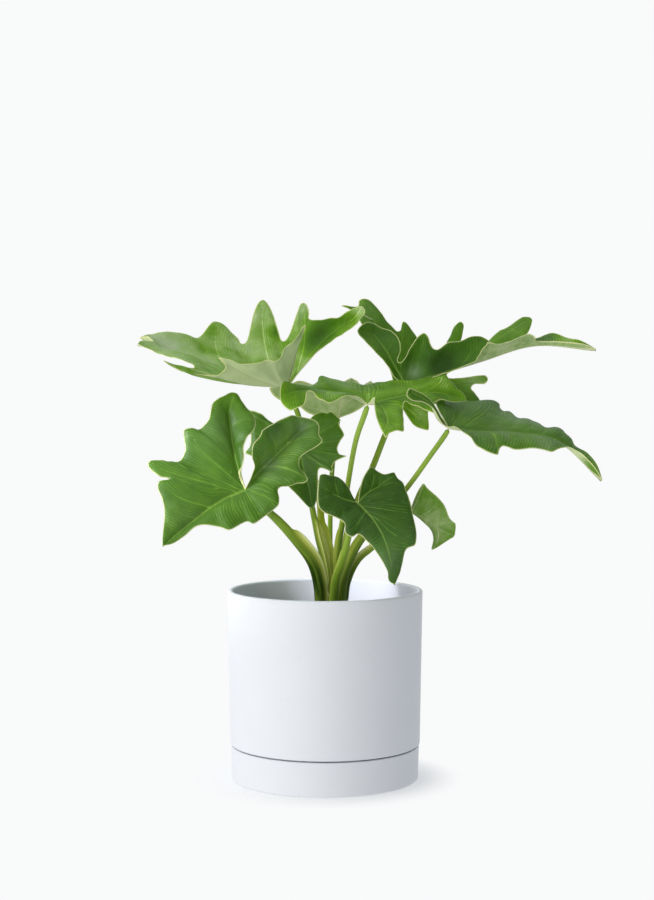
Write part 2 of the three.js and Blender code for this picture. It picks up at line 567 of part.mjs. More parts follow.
// A rib as a function of 0 to 1 along its length.
function rib(points) {
  const samples = smoothCurve(points, points.map(() => 0), () => ribSamples);
  const lengths = [0];
  for (let i = 1; i < samples.length; i++) {
    lengths.push(lengths[i - 1] + samples[i].point.distanceTo(samples[i - 1].point));
  }
  const total = lengths[lengths.length - 1];
  return (share) => {
    const target = THREE.MathUtils.clamp(share, 0, 1) * total;
    let i = 1;
    while (i < samples.length - 1 && lengths[i] < target) {
      i += 1;
    }
    const t = (target - lengths[i - 1]) / (lengths[i] - lengths[i - 1]);
    return samples[i - 1].point.clone().lerp(samples[i].point, t);
  };
}

const origin = new THREE.Vector3(0, 0, 0);

function vector(values) {
  return new THREE.Vector3(values[0], values[1], values[2]);
}

// The margin of one half, from the tip to the base. The path value grows from 0 at the tip to 1 at
// the base, and where there is a hind rib to 2 at that rib's end and 3 back at the base.
function marginOf(leaf, side) {
  const table = leaf.margins[side];
  const hasHind = leaf.hindRibs[side] !== null;
  const points = [vector(leaf.tip), ...table.map((row) => vector(row.slice(1))), origin.clone()];
  const reaches = [1, ...table.map((row) => row[0]), 0];
  const sharpness = [leaf.tip[3] ?? 0, ...table.map((row) => row[4] ?? 0), 0.5];
  const furthest = Math.min(...reaches);
  let pastRibEnd = false;
  const paths = reaches.map((reach) => {
    if (!hasHind) {
      return 1 - reach;
    }
    const returning = pastRibEnd && reach > furthest;
    pastRibEnd = pastRibEnd || reach === furthest;
    return returning ? 3 + reach : 1 - reach;
  });
  const stepsOf = (length) => Math.max(1, Math.ceil(length / marginStep));
  return smoothCurve(points, sharpness, stepsOf).map(({ span, along, point }) => {
    const next = paths[Math.min(span + 1, paths.length - 1)];
    return { point, path: paths[span] + (next - paths[span]) * along };
  });
}

// The mean direction of the blade's upper side.
function upperSide(margins) {
  const loop = [...margins[0], ...margins[1].slice(0, -1).reverse()].map((m) => m.point);
  const normal = new THREE.Vector3();
  for (let i = 1; i < loop.length; i++) {
    normal.add(loop[i - 1].clone().cross(loop[i]));
  }
  return normal.normalize();
}

// The blade's middle surface: points and triangles that face its upper side, and its rim in order.
function bladeSurface(leaf) {
  const margins = [marginOf(leaf, 0), marginOf(leaf, 1)];
  const up = upperSide(margins);
  const points = [];
  const faces = [];
  const add = (point) => points.push(point) - 1;

  const midrib = rib([origin, ...leaf.midrib.map(vector), vector(leaf.tip)]);
  const spine = [];
  for (let i = midribSteps; i >= 0; i--) {
    spine.push({ index: add(midrib(i / midribSteps)), path: 1 - i / midribSteps });
  }
  const tip = spine[0].index;
  const base = spine[midribSteps].index;
  const rims = [];

  margins.forEach((margin, side) => {
    const triangle = (a, b, c) => {
      if (a !== b && b !== c && c !== a) {
        faces.push(side === 1 ? [a, c, b] : [a, b, c]);
      }
    };
    const veins = [...spine];
    let hind = null;
    if (leaf.hindRibs[side] !== null) {
      hind = rib([origin, ...leaf.hindRibs[side].map(vector)]);
      const out = [];
      for (let i = 1; i <= hindRibSteps; i++) {
        out.push({ index: add(hind(i / hindRibSteps)), path: 1 + i / hindRibSteps });
      }
      const back = out.slice(0, -1).reverse();
      veins.push(...out, ...back.map((v) => ({ index: v.index, path: 4 - v.path })));
      veins.push({ index: base, path: 3 });
    }
    // Each vein starts on the midrib or on the hind rib, and each row crosses all veins.
    const starts = margin.map(({ path }) =>
      path <= 1 || hind === null ? midrib(1 - path) : hind(Math.min(path - 1, 3 - path)),
    );
    const rows = [];
    for (let r = 1; r <= bladeRows; r++) {
      const t = r / bladeRows;
      const row = [tip];
      for (let i = 1; i < margin.length - 1; i++) {
        const start = starts[i];
        const end = margin[i].point;
        const share = Math.min(1, start.distanceTo(end) / fullBulgeReach);
        const swell = leaf.bulge[side] * 4 * t * (1 - t) * share;
        row.push(add(start.clone().lerp(end, t).addScaledVector(up, swell)));
      }
      row.push(base);
      rows.push(row);
    }
    // From the ribs to the first row.
    const first = rows[0];
    let i = 0;
    let j = 0;
    while (i < first.length - 1 || j < veins.length - 1) {
      const rowNext = i < first.length - 1 ? margin[i].path + margin[i + 1].path : Infinity;
      const veinNext = j < veins.length - 1 ? veins[j].path + veins[j + 1].path : Infinity;
      if (rowNext <= veinNext) {
        triangle(first[i], first[i + 1], veins[j].index);
        i += 1;
      } else {
        triangle(first[i], veins[j + 1].index, veins[j].index);
        j += 1;
      }
    }
    // From row to row, out to the margin.
    for (let r = 1; r < rows.length; r++) {
      const near = rows[r - 1];
      const far = rows[r];
      for (let c = 0; c < near.length - 1; c++) {
        triangle(far[c], far[c + 1], near[c + 1]);
        triangle(far[c], near[c + 1], near[c]);
      }
    }
    rims.push(rows[bladeRows - 1]);
  });
  const rim = [...rims[0], ...rims[1].slice(1, -1).reverse()];
  return { points, faces, rim, up };
}

// A closed solid from a middle surface: the same triangles on both faces and a wall round the rim.
function thickened({ points, faces, rim }) {
  const normals = points.map(() => new THREE.Vector3());
  for (const [a, b, c] of faces) {
    const first = points[b].clone().sub(points[a]);
    const area = first.cross(points[c].clone().sub(points[a]));
    for (const i of [a, b, c]) {
      normals[i].add(area);
    }
  }
  const half = bladeThickness / 2;
  const upper = points.map((p, i) => p.clone().addScaledVector(normals[i].normalize(), half));
  const lower = points.map((p, i) => p.clone().addScaledVector(normals[i], -half));
  const count = points.length;
  const index = [];
  for (const [a, b, c] of faces) {
    index.push(a, b, c, a + count, c + count, b + count);
  }
  rim.forEach((a, i) => {
    const b = rim[(i + 1) % rim.length];
    index.push(a, a + count, b + count, a, b + count, b);
  });
  const geometry = new THREE.BufferGeometry();
  const values = [...upper, ...lower].flatMap((p) => p.toArray());
  geometry.setAttribute("position", new THREE.Float32BufferAttribute(values, 3));
  geometry.setIndex(index);
  return geometry;
}

function blade(leaf) {
  const geometry = thickened(bladeSurface(leaf));
  geometry.translate(...leaf.base);
  return piece(`${leaf.name}_blade`, geometry, finishes.blade);
}

// A stalk through rings round a smooth path. Its first ring lies flat on the crown, and its last
// one is small and stops just short of the blade.
function petiole(leaf) {
  const base = vector(leaf.base);
  const { up } = bladeSurface(leaf);
  const clearance = bladeThickness / 2 + seat + stemEndRadius;
  const end = base.clone().addScaledVector(up, -clearance);
  const [footX, footY, stemFootRadius] = leaf.foot;
  const points = [new THREE.Vector3(footX, footY, crown.top + seat)];
  points.push(...leaf.petiole.map(vector), end);
  const radii = [stemFootRadius, ...leaf.petiole.map((row) => row[3]), stemEndRadius];
  const ringsOf = (length) => (length > stemStep ? 2 : 1);
  const path = smoothCurve(points, points.map(() => 0), ringsOf);
  const last = path.length - 1;
  const values = [];
  path.forEach(({ span, along, point }, i) => {
    const direction = path[Math.min(i + 1, last)].point.clone();
    direction.sub(path[Math.max(i - 1, 0)].point).normalize();
    if (i === 0) {
      direction.set(0, 0, 1);
    }
    const across = new THREE.Vector3(0, 1, 0).cross(direction).normalize();
    const behind = direction.clone().cross(across);
    const next = radii[Math.min(span + 1, radii.length - 1)];
    const radius = radii[span] + (next - radii[span]) * along;
    for (let k = 0; k < stemSides; k++) {
      const angle = (2 * Math.PI * k) / stemSides;
      const ring = point.clone();
      ring.addScaledVector(across, radius * Math.cos(angle));
      ring.addScaledVector(behind, radius * Math.sin(angle));
      values.push(...ring.toArray());
    }
  });
  const index = [];
  for (let i = 0; i < last; i++) {
    for (let k = 0; k < stemSides; k++) {
      const a = i * stemSides + k;
      const b = i * stemSides + ((k + 1) % stemSides);
      index.push(a, b, b + stemSides, a, b + stemSides, a + stemSides);
    }
  }
  for (let k = 1; k < stemSides - 1; k++) {
    const top = last * stemSides;
    index.push(0, k + 1, k, top, top + k, top + k + 1);
  }
  const geometry = new THREE.BufferGeometry();
  geometry.setAttribute("position", new THREE.Float32BufferAttribute(values, 3));
  geometry.setIndex(index);
  return piece(`${leaf.name}_petiole`, geometry, finishes.petiole);
}

const group = new THREE.Group();
group.name = "philodendron_selloum";
group.add(saucer(), pot(), soil(), crownPiece());
for (const leaf of leaves) {
  group.add(petiole(leaf), blade(leaf));
}

export default group;
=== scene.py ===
import math

import bpy
import numpy as np
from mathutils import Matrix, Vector


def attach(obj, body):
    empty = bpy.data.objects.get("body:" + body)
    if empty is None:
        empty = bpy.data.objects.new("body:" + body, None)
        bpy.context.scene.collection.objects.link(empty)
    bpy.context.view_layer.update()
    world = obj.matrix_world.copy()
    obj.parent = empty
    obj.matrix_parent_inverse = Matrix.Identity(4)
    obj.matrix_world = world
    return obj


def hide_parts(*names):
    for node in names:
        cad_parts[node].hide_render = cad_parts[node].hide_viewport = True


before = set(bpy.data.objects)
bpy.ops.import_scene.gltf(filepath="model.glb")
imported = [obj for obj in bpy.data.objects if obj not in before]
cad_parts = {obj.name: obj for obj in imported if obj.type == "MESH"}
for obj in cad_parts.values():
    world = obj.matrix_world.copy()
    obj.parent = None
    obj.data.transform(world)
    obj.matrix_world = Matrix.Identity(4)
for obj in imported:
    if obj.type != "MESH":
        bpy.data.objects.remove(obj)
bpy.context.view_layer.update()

mm = 0.001

# Philodendron selloum in a round ceramic pot. Sizes are given in mm and turned into metres when
# a mesh is made. The pot's axis is Z and the plant's front looks towards -Y.


cameraPlan = {
    "side": 1.47,  # right of the pot's axis
    "distance": 1381,  # in front of it
    "height": 312.6,
    "pitch": 2.48,  # degrees below level
    "lens": 72,
    "sensor": 36,
    "sight": 20,  # metres
}


def placeCamera(plan):
    data = bpy.data.cameras.new("camera")
    data.sensor_fit = "VERTICAL"
    data.sensor_height = plan["sensor"]
    data.lens = plan["lens"]
    data.clip_end = plan["sight"]
    camera = bpy.data.objects.new("camera", data)
    camera.location = Vector((plan["side"], -plan["distance"], plan["height"])) * mm
    camera.rotation_euler = (math.radians(90 - plan["pitch"]), 0, 0)
    bpy.context.collection.objects.link(camera)
    bpy.context.scene.camera = camera


placeCamera(cameraPlan)


class Shade:
    # a shader socket that plain sums can be written with
    def __init__(self, tree, socket=None):
        self.tree = tree
        self.socket = socket

    def node(self, kind, settings=None, values=None, output=0):
        made = self.tree.nodes.new(kind)
        for name, value in (settings or {}).items():
            if name == "stops":
                setStops(made.color_ramp, value)
            else:
                setattr(made, name, value)
        for name, value in (values or {}).items():
            if isinstance(value, Shade):
                self.tree.links.new(value.socket, made.inputs[name])
            else:
                made.inputs[name].default_value = value
        return Shade(self.tree, made.outputs[output]) if made.outputs else None

    def sum(self, operation, first, second):
        return self.node("ShaderNodeMath", {"operation": operation}, {0: first, 1: second})

    def __add__(self, other):
        return self.sum("ADD", self, other)

    def __radd__(self, other):
        return self.sum("ADD", other, self)

    def __sub__(self, other):
        return self.sum("SUBTRACT", self, other)

    def __rsub__(self, other):
        return self.sum("SUBTRACT", other, self)

    def __mul__(self, other):
        return self.sum("MULTIPLY", self, other)

    def __rmul__(self, other):
        return self.sum("MULTIPLY", other, self)

    def __truediv__(self, other):
        return self.sum("DIVIDE", self, other)


def setStops(ramp, stops):
    while len(ramp.elements) < len(stops):
        ramp.elements.new(1)
    for element, (position, colour) in zip(ramp.elements, stops):
        element.position = position
        element.color = (*colour, 1)


def newMaterial(name):
    # an empty material and the sheet its nodes go on
    material = bpy.data.materials.new(name)
    material.use_nodes = True
    material.node_tree.nodes.clear()
    return material, Shade(material.node_tree)


def finishMaterial(sheet, surface):
    sheet.node("ShaderNodeOutputMaterial", None, {"Surface": surface})


def place(sheet):
    return sheet.node("ShaderNodeTexCoord", None, None, "Object")


def attribute(sheet, name, output="Fac"):
    return sheet.node("ShaderNodeAttribute", {"attribute_name": name}, None, output)


def noise(sheet, at, size, detail=2, roughness=0.5):
    # cloudy variation from 0 to 1 with features about size mm across
    values = {"Vector": at, "Scale": 1 / (size * mm), "Detail": detail, "Roughness": roughness}
    return sheet.node("ShaderNodeTexNoise", None, values, "Fac")


def step(value, low, high):
    # 0 below low, 1 above high and smooth between
    settings = {"interpolation_type": "SMOOTHSTEP"}
    values = {"Value": value, "From Min": low, "From Max": high}
    return value.node("ShaderNodeMapRange", settings, values)


def blend(sheet, amount, first, second):
    # the first colour where amount is 0 and the second where it is 1
    colours = [c if isinstance(c, Shade) else (*c, 1) for c in (first, second)]
    values = {0: amount, 6: colours[0], 7: colours[1]}
    return sheet.node("ShaderNodeMix", {"data_type": "RGBA"}, values, 2)


def lighten(sheet, amount, colour, factor, tint=(1, 1, 1)):
    # the colour made lighter, or darker for a factor below 1, by an amount from 0 to 1
    scaled = [factor * share for share in tint]
    lighter = sheet.node("ShaderNodeVectorMath", {"operation": "MULTIPLY"}, {0: colour, 1: scaled})
    return blend(sheet, amount, colour, lighter)


def bump(sheet, height, depth):
    # fine relief up to depth mm deep
    return sheet.node("ShaderNodeBump", None, {"Height": height, "Distance": depth * mm})


def coat(sheet, colour, roughness, relief, shine=0.5):
    # the surface that every finish ends in
    return sheet.node("ShaderNodeBsdfPrincipled", None, {
        "Base Color": colour,
        "Roughness": roughness,
        "Specular IOR Level": shine,
        "Normal": relief,
    })


def newPiece(name, points, faces, materials, faceMaterials=None, attributes=None):
    # a smooth-shaded mesh object from points in mm
    mesh = bpy.data.meshes.new(name)
    mesh.from_pydata((np.asarray(points) * mm).tolist(), [], faces)
    for material in materials:
        mesh.materials.append(material)
    mesh.polygons.foreach_set("use_smooth", [True] * len(mesh.polygons))
    if faceMaterials is not None:
        mesh.polygons.foreach_set("material_index", faceMaterials)
    for label, values in (attributes or {}).items():
        values = np.asarray(values, dtype=np.float32)
        kind = "FLOAT" if values.ndim == 1 else "FLOAT_VECTOR"
        layer = mesh.attributes.new(label, kind, "POINT")
        layer.data.foreach_set("value" if values.ndim == 1 else "vector", values.ravel())
    mesh.validate()
    piece = bpy.data.objects.new(name, mesh)
    bpy.context.collection.objects.link(piece)
    return piece


def fit(piece, node):
    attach(piece, "root")
    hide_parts(node)


def ripple(points, size, seed, waves=7, spread=(0.7, 1.5), crest=1.6):
    # smooth seeded ups and downs between about -1 and 1, size mm long: waves in all directions,
    # spread about that size, divided by the crest that they reach where they meet
    rng = np.random.default_rng(seed)
    directions = rng.normal(size=(waves, 3))
    directions /= np.linalg.norm(directions, axis=1)[:, None]
    turns = directions * (2 * math.pi / size) * rng.uniform(*spread, (waves, 1))
    phases = rng.uniform(0, 2 * math.pi, waves)
    return np.sin(points @ turns.T + phases).sum(axis=1) / math.sqrt(waves / 2) / crest


potPlan = {
    "diameter": 150,
    "top": 145.5,
    "bottom": 27.1,  # lower edge of the wide part, just over the saucer's rim
    "taper": 1.9,
    "wall": 3.8,
    "footRadius": 65.5,
    "foot": 4.3,
    "innerFloor": 12.3,
    "drainRadius": 9,
    "lip": 1.6,
    "edge": 1,
    "fillet": 2,
    "insideFade": 0.5,  # depth below the inner floor where the inside's painted light begins
    "sides": 192,
}

saucerPlan = {
    "height": 26,
    "footRadius": 71.8,
    "rimRadius": 72.4,
    "wall": 3.4,
    "floor": 4,
    "bend": 1.2,
    "lip": 0.8,
    "fillet": 1.4,
    "sides": 192,
}

ceramicFinish = {
    "body": (0.695, 0.715, 0.745),
    "shade": (0.665, 0.685, 0.715),
    "grain": (0.630, 0.655, 0.690),
    "fleck": (0.52, 0.54, 0.57),
    # inside is painted light: a brighter, bluer copy of the glaze that makes the inner wall look well lit
    "inside": (0.84, 0.87, 1.00),
    "roughness": 0.62,
    "sandSize": 0.55,
    "sandFade": (0.50, 0.72),
    "pitSize": 2.2,
    "pitFade": (0.68, 0.78),
    "cloudSize": 28,
    "relief": 0.05,
}


def ceramicMaterial(finish):
    material, sheet = newMaterial("ceramic")
    at = place(sheet)
    clouds = noise(sheet, at, finish["cloudSize"], 3)
    sand = noise(sheet, at, finish["sandSize"], 3, 0.7)
    pits = step(noise(sheet, at, finish["pitSize"], 2), *finish["pitFade"])
    colour = blend(sheet, clouds, finish["body"], finish["shade"])
    colour = blend(sheet, step(sand, *finish["sandFade"]) * 0.5, colour, finish["grain"])
    colour = blend(sheet, pits * 0.35, colour, finish["fleck"])
    # painted light on the inner wall, blended in by the inside attribute
    colour = blend(sheet, attribute(sheet, "inside") * 0.9, colour, finish["inside"])
    height = sand * 0.6 - pits * 0.5
    roughness = finish["roughness"] + sand * 0.12
    finishMaterial(sheet, coat(sheet, colour, roughness, bump(sheet, height, finish["relief"])))
    return material


def arc(radius, height, size, first, last, steps=8):
    # points on a corner of a turned outline, between two angles in degrees
    angles = np.radians(np.linspace(first, last, steps + 1))
    return np.column_stack([radius + size * np.cos(angles), height + size * np.sin(angles)])


def outline(*parts, longRun=3, hold=0.5):
    # the parts joined, with points close to both ends of each long straight run, which keep
    # its shading flat
    points = np.vstack(parts)
    kept = [points[0]]
    for start, end in zip(points[:-1], points[1:]):
        length = np.linalg.norm(end - start)
        if length > longRun:
            shares = (hold / length, 1 - hold / length)
            kept += [start + (end - start) * share for share in shares]
        kept.append(end)
    return np.array(kept)


def turnedMesh(profile, sides):
    # points and faces of a profile turned round Z, its points on the axis shared
    points, rows = [], []
    angles = np.linspace(0, 2 * math.pi, sides, endpoint=False)
    for radius, height in profile:
        if radius < 1e-6:
            rows.append([len(points)] * sides)
            points.append((0, 0, height))
        else:
            rows.append(list(range(len(points), len(points) + sides)))
            points += [(radius * math.cos(a), radius * math.sin(a), height) for a in angles]
    faces = []
    for near, far in zip(rows[:-1], rows[1:]):
        for i in range(sides):
            j = (i + 1) % sides
            face = list(dict.fromkeys((near[i], near[j], far[j], far[i])))
            if len(face) > 2:
                faces.append(face)
    return np.array(points, dtype=float), faces


def potRadiusAt(height):
    plan = potPlan
    share = (plan["top"] - height) / (plan["top"] - plan["bottom"])
    return plan["diameter"] / 2 - plan["taper"] * share


def makePot(plan, ceramic):
    sides, wall = plan["sides"], plan["wall"]
    lip, edge, fillet = plan["lip"], plan["edge"], plan["fillet"]
    ledge = plan["bottom"] + wall
    inner = plan["footRadius"] - wall
    lipHeight = plan["top"] - lip
    profile = outline(
        [(plan["drainRadius"], plan["foot"])],
        arc(plan["footRadius"] - edge, plan["foot"] + edge, edge, -90, 0),
        [(plan["footRadius"], plan["bottom"])],
        arc(potRadiusAt(plan["bottom"]) - edge, plan["bottom"] + edge, edge, -90, 0),
        arc(potRadiusAt(plan["top"]) - lip, lipHeight, lip, 0, 90),
        arc(potRadiusAt(plan["top"]) - wall + lip, lipHeight, lip, 90, 180),
        [(potRadiusAt(ledge) - wall, ledge)],
        [(inner, ledge)],
        arc(inner - fillet, plan["innerFloor"] + fillet, fillet, 0, -90),
        [(plan["drainRadius"], plan["innerFloor"])],
    )
    points, faces = turnedMesh(profile, sides)
    # the wall of the drainage hole, from the last ring back to the first
    last = len(points) - sides
    faces += [[last + i, last + (i + 1) % sides, (i + 1) % sides, i] for i in range(sides)]
    # inside marks the inner wall, which gets painted light
    radius = np.linalg.norm(points[:, :2], axis=1)
    middle = potRadiusAt(points[:, 2]) - wall / 2
    inside = np.clip((middle - radius) / wall * 2, 0, 1)
    fade = plan["insideFade"]
    inside *= np.clip((points[:, 2] - plan["innerFloor"] + fade) / fade, 0, 1)
    piece = newPiece("ceramicPot", points, faces, [ceramic], None, {"inside": inside})
    fit(piece, "pot")


def makeSaucer(plan, ceramic):
    foot, rim, wall = plan["footRadius"], plan["rimRadius"], plan["wall"]
    bend, lip, fillet = plan["bend"], plan["lip"], plan["fillet"]
    lipHeight = plan["height"] - lip
    profile = outline(
        [(0, 0)],
        arc(foot - bend, bend, bend, -90, 0),
        arc(rim - lip, lipHeight, lip, 0, 90),
        arc(rim - wall + lip, lipHeight, lip, 90, 180),
        arc(foot - wall - fillet, plan["floor"] + fillet, fillet, 0, -90),
        [(0, plan["floor"])],
    )
    points, faces = turnedMesh(profile, plan["sides"])
    fit(newPiece("ceramicSaucer", points, faces, [ceramic]), "saucer")


ceramic = ceramicMaterial(ceramicFinish)
makePot(potPlan, ceramic)
makeSaucer(saucerPlan, ceramic)
print("pot and saucer made")


soilPlan = {
    "top": 120,
    "foot": 12.6,
    "shoulder": 30.9,
    "lowRadius": 61.4,
    "gap": 0.3,  # left to the pot's wall
    "rings": 70,
    "sides": 180,
    "edgeDrop": 3,  # height of the plain band below the lumpy top
    "wallRise": 1.2,  # how much higher the soil stands at the wall
    "lumps": 1.5,  # height of the largest lumps
    "lumpKinds": ((26, 0.5), (7, 0.35), (2.6, 0.3)),  # their sizes and shares
    "crumbs": 520,
    "crumbSize": (0.5, 1.7),
    "crumbStretch": (0.6, 1.3),
    "crumbRough": 0.3,  # how far a crumb's corners are off
    "crumbRise": 0.2,  # how far its middle stands over the soil, in its own sizes
    "crumbStrip": 3,  # width of the bare strip along the wall
    "seed": 11,
}

soilFinish = {
    "dark": (0.020, 0.013, 0.009),
    "brown": (0.075, 0.045, 0.027),
    "fibre": (0.16, 0.10, 0.06),
    "roughness": 0.95,
    "clodSize": 6,
    "grainSize": 1.1,
    "grainFade": (0.4, 0.7),
    "fibreSize": 0.6,
    "fibreFade": (0.62, 0.72),
    "relief": 0.5,
}


def soilMaterial(finish):
    material, sheet = newMaterial("soil")
    at = place(sheet)
    clods = noise(sheet, at, finish["clodSize"], 4, 0.6)
    grains = noise(sheet, at, finish["grainSize"], 4, 0.65)
    fibres = step(noise(sheet, at, finish["fibreSize"], 2), *finish["fibreFade"])
    colour = blend(sheet, clods, finish["dark"], finish["brown"])
    colour = blend(sheet, step(grains, *finish["grainFade"]) * 0.6, colour, finish["brown"])
    colour = blend(sheet, fibres * 0.5, colour, finish["fibre"])
    roughness = finish["roughness"] - clods * 0.15
    relief = bump(sheet, grains + clods * 0.5, finish["relief"])
    finishMaterial(sheet, coat(sheet, colour, roughness, relief))
    return material


def crumbBall(rng, at, size, plan):
    # a rough little octahedron
    rough = plan["crumbRough"]
    points = np.array([(1, 0, 0), (0, 1, 0), (-1, 0, 0), (0, -1, 0), (0, 0, 1), (0, 0, -1)], float)
    points += rng.uniform(-rough, rough, points.shape)
    stretch = rng.uniform(*plan["crumbStretch"], 3)
    turn = rng.uniform(0, math.pi)
    c, s = math.cos(turn), math.sin(turn)
    points = points * stretch * size @ np.array([(c, s, 0), (-s, c, 0), (0, 0, 1)]) + at
    faces = [(i, (i + 1) % 4, 4) for i in range(4)] + [((i + 1) % 4, i, 5) for i in range(4)]
    return points, faces


def soilBody(plan, edge):
    # points and faces of the soil with a lumpy top, and which points are on that top
    shoulder = potRadiusAt(plan["shoulder"]) - potPlan["wall"] - plan["gap"]
    shoulderHeight = plan["shoulder"] + plan["gap"]
    rings = plan["rings"]
    profile = [
        (0, plan["foot"]),
        (plan["lowRadius"], plan["foot"]),
        (plan["lowRadius"], shoulderHeight),
        (shoulder, shoulderHeight),
        (edge, plan["top"] - plan["edgeDrop"]),
    ]
    profile += [(edge * (1 - i / rings), plan["top"]) for i in range(rings + 1)]
    points, faces = turnedMesh(profile, plan["sides"])
    onTop = points[:, 2] == plan["top"]
    flat = points * (1, 1, 0)
    lumps = sum(ripple(flat, size, plan["seed"] + number) * share
                for number, (size, share) in enumerate(plan["lumpKinds"]))
    rise = plan["wallRise"] * (np.linalg.norm(flat, axis=1) / edge) ** 6
    points[onTop, 2] += (lumps * plan["lumps"] + rise)[onTop]
    return points, faces, onTop


def makeSoil(plan, finish):
    edge = potRadiusAt(plan["top"]) - potPlan["wall"] - plan["gap"]
    points, faces, onTop = soilBody(plan, edge)
    flat = points * (1, 1, 0)
    rng = np.random.default_rng(plan["seed"])
    allPoints, allFaces, count = [points], list(faces), len(points)
    for _ in range(plan["crumbs"]):
        angle = rng.uniform(0, 2 * math.pi)
        radius = (edge - plan["crumbStrip"]) * math.sqrt(rng.uniform(0.02, 1))
        at = np.array([radius * math.cos(angle), radius * math.sin(angle), 0])
        nearest = np.argmin(np.where(onTop, np.linalg.norm(flat - at, axis=1), np.inf))
        size = rng.uniform(*plan["crumbSize"])
        at[2] = points[nearest, 2] + size * plan["crumbRise"]
        more, moreFaces = crumbBall(rng, at, size, plan)
        allPoints.append(more)
        allFaces += [[count + i for i in face] for face in moreFaces]
        count += len(more)
    piece = newPiece("pottingSoil", np.vstack(allPoints), allFaces, [soilMaterial(finish)])
    fit(piece, "soil")


crownPlan = {
    "x": 4,
    "y": -1,
    "halfWidth": 13,
    "halfDepth": 19,
    "top": 124,
    "length": 29,
    "sideEnd": 2,  # the dome starts this far below the top
    "dome": ((0.96, 0.8), (0.85, 0.2), (0, -0.2)),  # shares of the width and depths below the top
    "scars": 5,
    "scarDepth": 0.9,
    "scarWidth": 0.09,  # as a share of the height between two scars
    "scarClimb": 2,  # scars that one of them climbs past in a turn round the stem
    "flutes": 5,
    "fluteDepth": 0.02,  # as a share of the half width
    "sides": 120,
    "rings": 40,
}

crownFinish = {
    "green": (0.16, 0.22, 0.06),
    "brown": (0.14, 0.085, 0.04),
    "pale": (0.36, 0.33, 0.18),
    "roughness": 0.7,
    "patchSize": 9,
    "patchFade": (0.4, 0.65),
    "grainSize": 0.9,
    "grainFade": (0.5, 0.8),
    "relief": 0.3,
}


def crownMaterial(finish):
    material, sheet = newMaterial("crown")
    at = place(sheet)
    patches = noise(sheet, at, finish["patchSize"], 4, 0.6)
    grain = noise(sheet, at, finish["grainSize"], 3)
    scars = attribute(sheet, "scar")
    colour = blend(sheet, step(patches, *finish["patchFade"]), finish["green"], finish["brown"])
    colour = blend(sheet, scars * 0.7, colour, finish["pale"])
    colour = blend(sheet, step(grain, *finish["grainFade"]) * 0.4, colour, finish["brown"])
    roughness = finish["roughness"] + grain * 0.15
    relief = bump(sheet, grain + patches * 0.4, finish["relief"])
    finishMaterial(sheet, coat(sheet, colour, roughness, relief))
    return material


def makeCrown(plan, finish):
    # an oval stem with slanting leaf scars round it and a low domed top
    top, flute = plan["top"], plan["fluteDepth"]
    foot = top - plan["length"]
    heights = np.linspace(foot, top - plan["sideEnd"], plan["rings"])
    profile = [(0, foot)] + [(1, height) for height in heights]
    profile += [(share, top - drop) for share, drop in plan["dome"]]
    points, faces = turnedMesh(profile, plan["sides"])
    angles = np.arctan2(points[:, 1], points[:, 0])
    pitch = plan["length"] / plan["scars"]
    climb = (points[:, 2] - foot) / pitch + angles / (2 * math.pi) * plan["scarClimb"]
    cut = np.exp(-((climb % 1 - 0.5) / plan["scarWidth"]) ** 2)
    size = 1 - cut * plan["scarDepth"] / plan["halfWidth"]
    size = size - flute + flute * np.cos(plan["flutes"] * angles)
    onDome = np.linalg.norm(points[:, :2], axis=1) < 0.9
    size[onDome] = 1
    points[:, 0] = points[:, 0] * size * plan["halfWidth"] + plan["x"]
    points[:, 1] = points[:, 1] * size * plan["halfDepth"] + plan["y"]
    piece = newPiece("stemCrown", points, faces, [crownMaterial(finish)], None, {"scar": cut})
    fit(piece, "crown")


makeSoil(soilPlan, soilFinish)
makeCrown(crownPlan, crownFinish)
print("soil and crown made")


bladePlan = {
    "marginStep": 1.1,
    "ribStep": 1.1,
    "baseSharpness": 0.5,  # of the margin where it meets the base
    "rows": 16,
    "edgeRow": 0.6,  # the last row but one runs this far inside the margin
    "thickness": 0.5,
    "edgeThickness": 0.34,
    "edgeWidth": 6,  # the blade is thinner nearer its margin than this
    "rimRound": 0.8,  # how far the rim stands out, in half thicknesses
    "bulgeReach": 30,  # veins of this length or more bulge fully
    "puff": 0.6,  # how far the blade swells between its veins
    "puffReach": 4.5,
    "keel": 0.24,  # how steeply it rises from its ribs
    "keelReach": 9,
    "flutter": 0.5,  # waves along the margin
    "flutterSize": 13,
    "flutterReach": 5,
    "edgeCalm": 3,  # swellings end this far from the margin
    "baseCalm": 12,  # and grow over this length from the base
    "veinSink": 0.15,  # how far a vein lies in the upper side, in its own half widths
    "ribRise": 0.9,  # how far it stands out below
    "ridgeReach": 1.2,  # how far its ridge spreads, in the same measure
    "ridgeLimits": (0.1, 1.2),  # least and greatest half width for a ridge
    "usualRib": 0.6,  # half widths taken for points right on a rib or a vein
    "usualVein": 0.3,
    "midribWidth": (0.8, 0.18),  # half widths at the base and at the end
    "hindWidth": (0.6, 0.28),
    "sideWidth": (0.50, 0.24),
    "shortVein": 0.55,  # share of that width for the shortest side vein
    "veinGain": 60,  # length that would add one whole width
    "veinBend": 0.16,  # how far side veins bow, as a share of their length
    "bowPaths": (0, 0.85, 1.15, 1.85, 2.15, 3),  # places on the margin's path
    "bowSides": (-1, -1, 1, 1, -1, -1),  # and which way the veins bow there
    "lobeReach": 6,  # a lobe's furthest point is at least this far from its rib
    "lobeWindow": 5,  # and the furthest among so many columns to each side
    "lobeProminence": 2.5,  # it stands out by this much
    "lobeGap": 4,  # least number of columns between two of them
    "broadReach": 8,  # the weaker veins go only where the blade is this broad
    "betweenStrength": 0.6,
    "footReach": 24,  # how far the brown at the foot of the ribs reaches
    "tipReach": 22,  # the pale margin narrows this far from the tip
    "tipShare": 0.4,  # to this share of its width
}

farAway = 99.0  # a distance that stands for none near


def unit(vectors):
    return vectors / np.maximum(np.linalg.norm(vectors, axis=-1, keepdims=True), 1e-9)


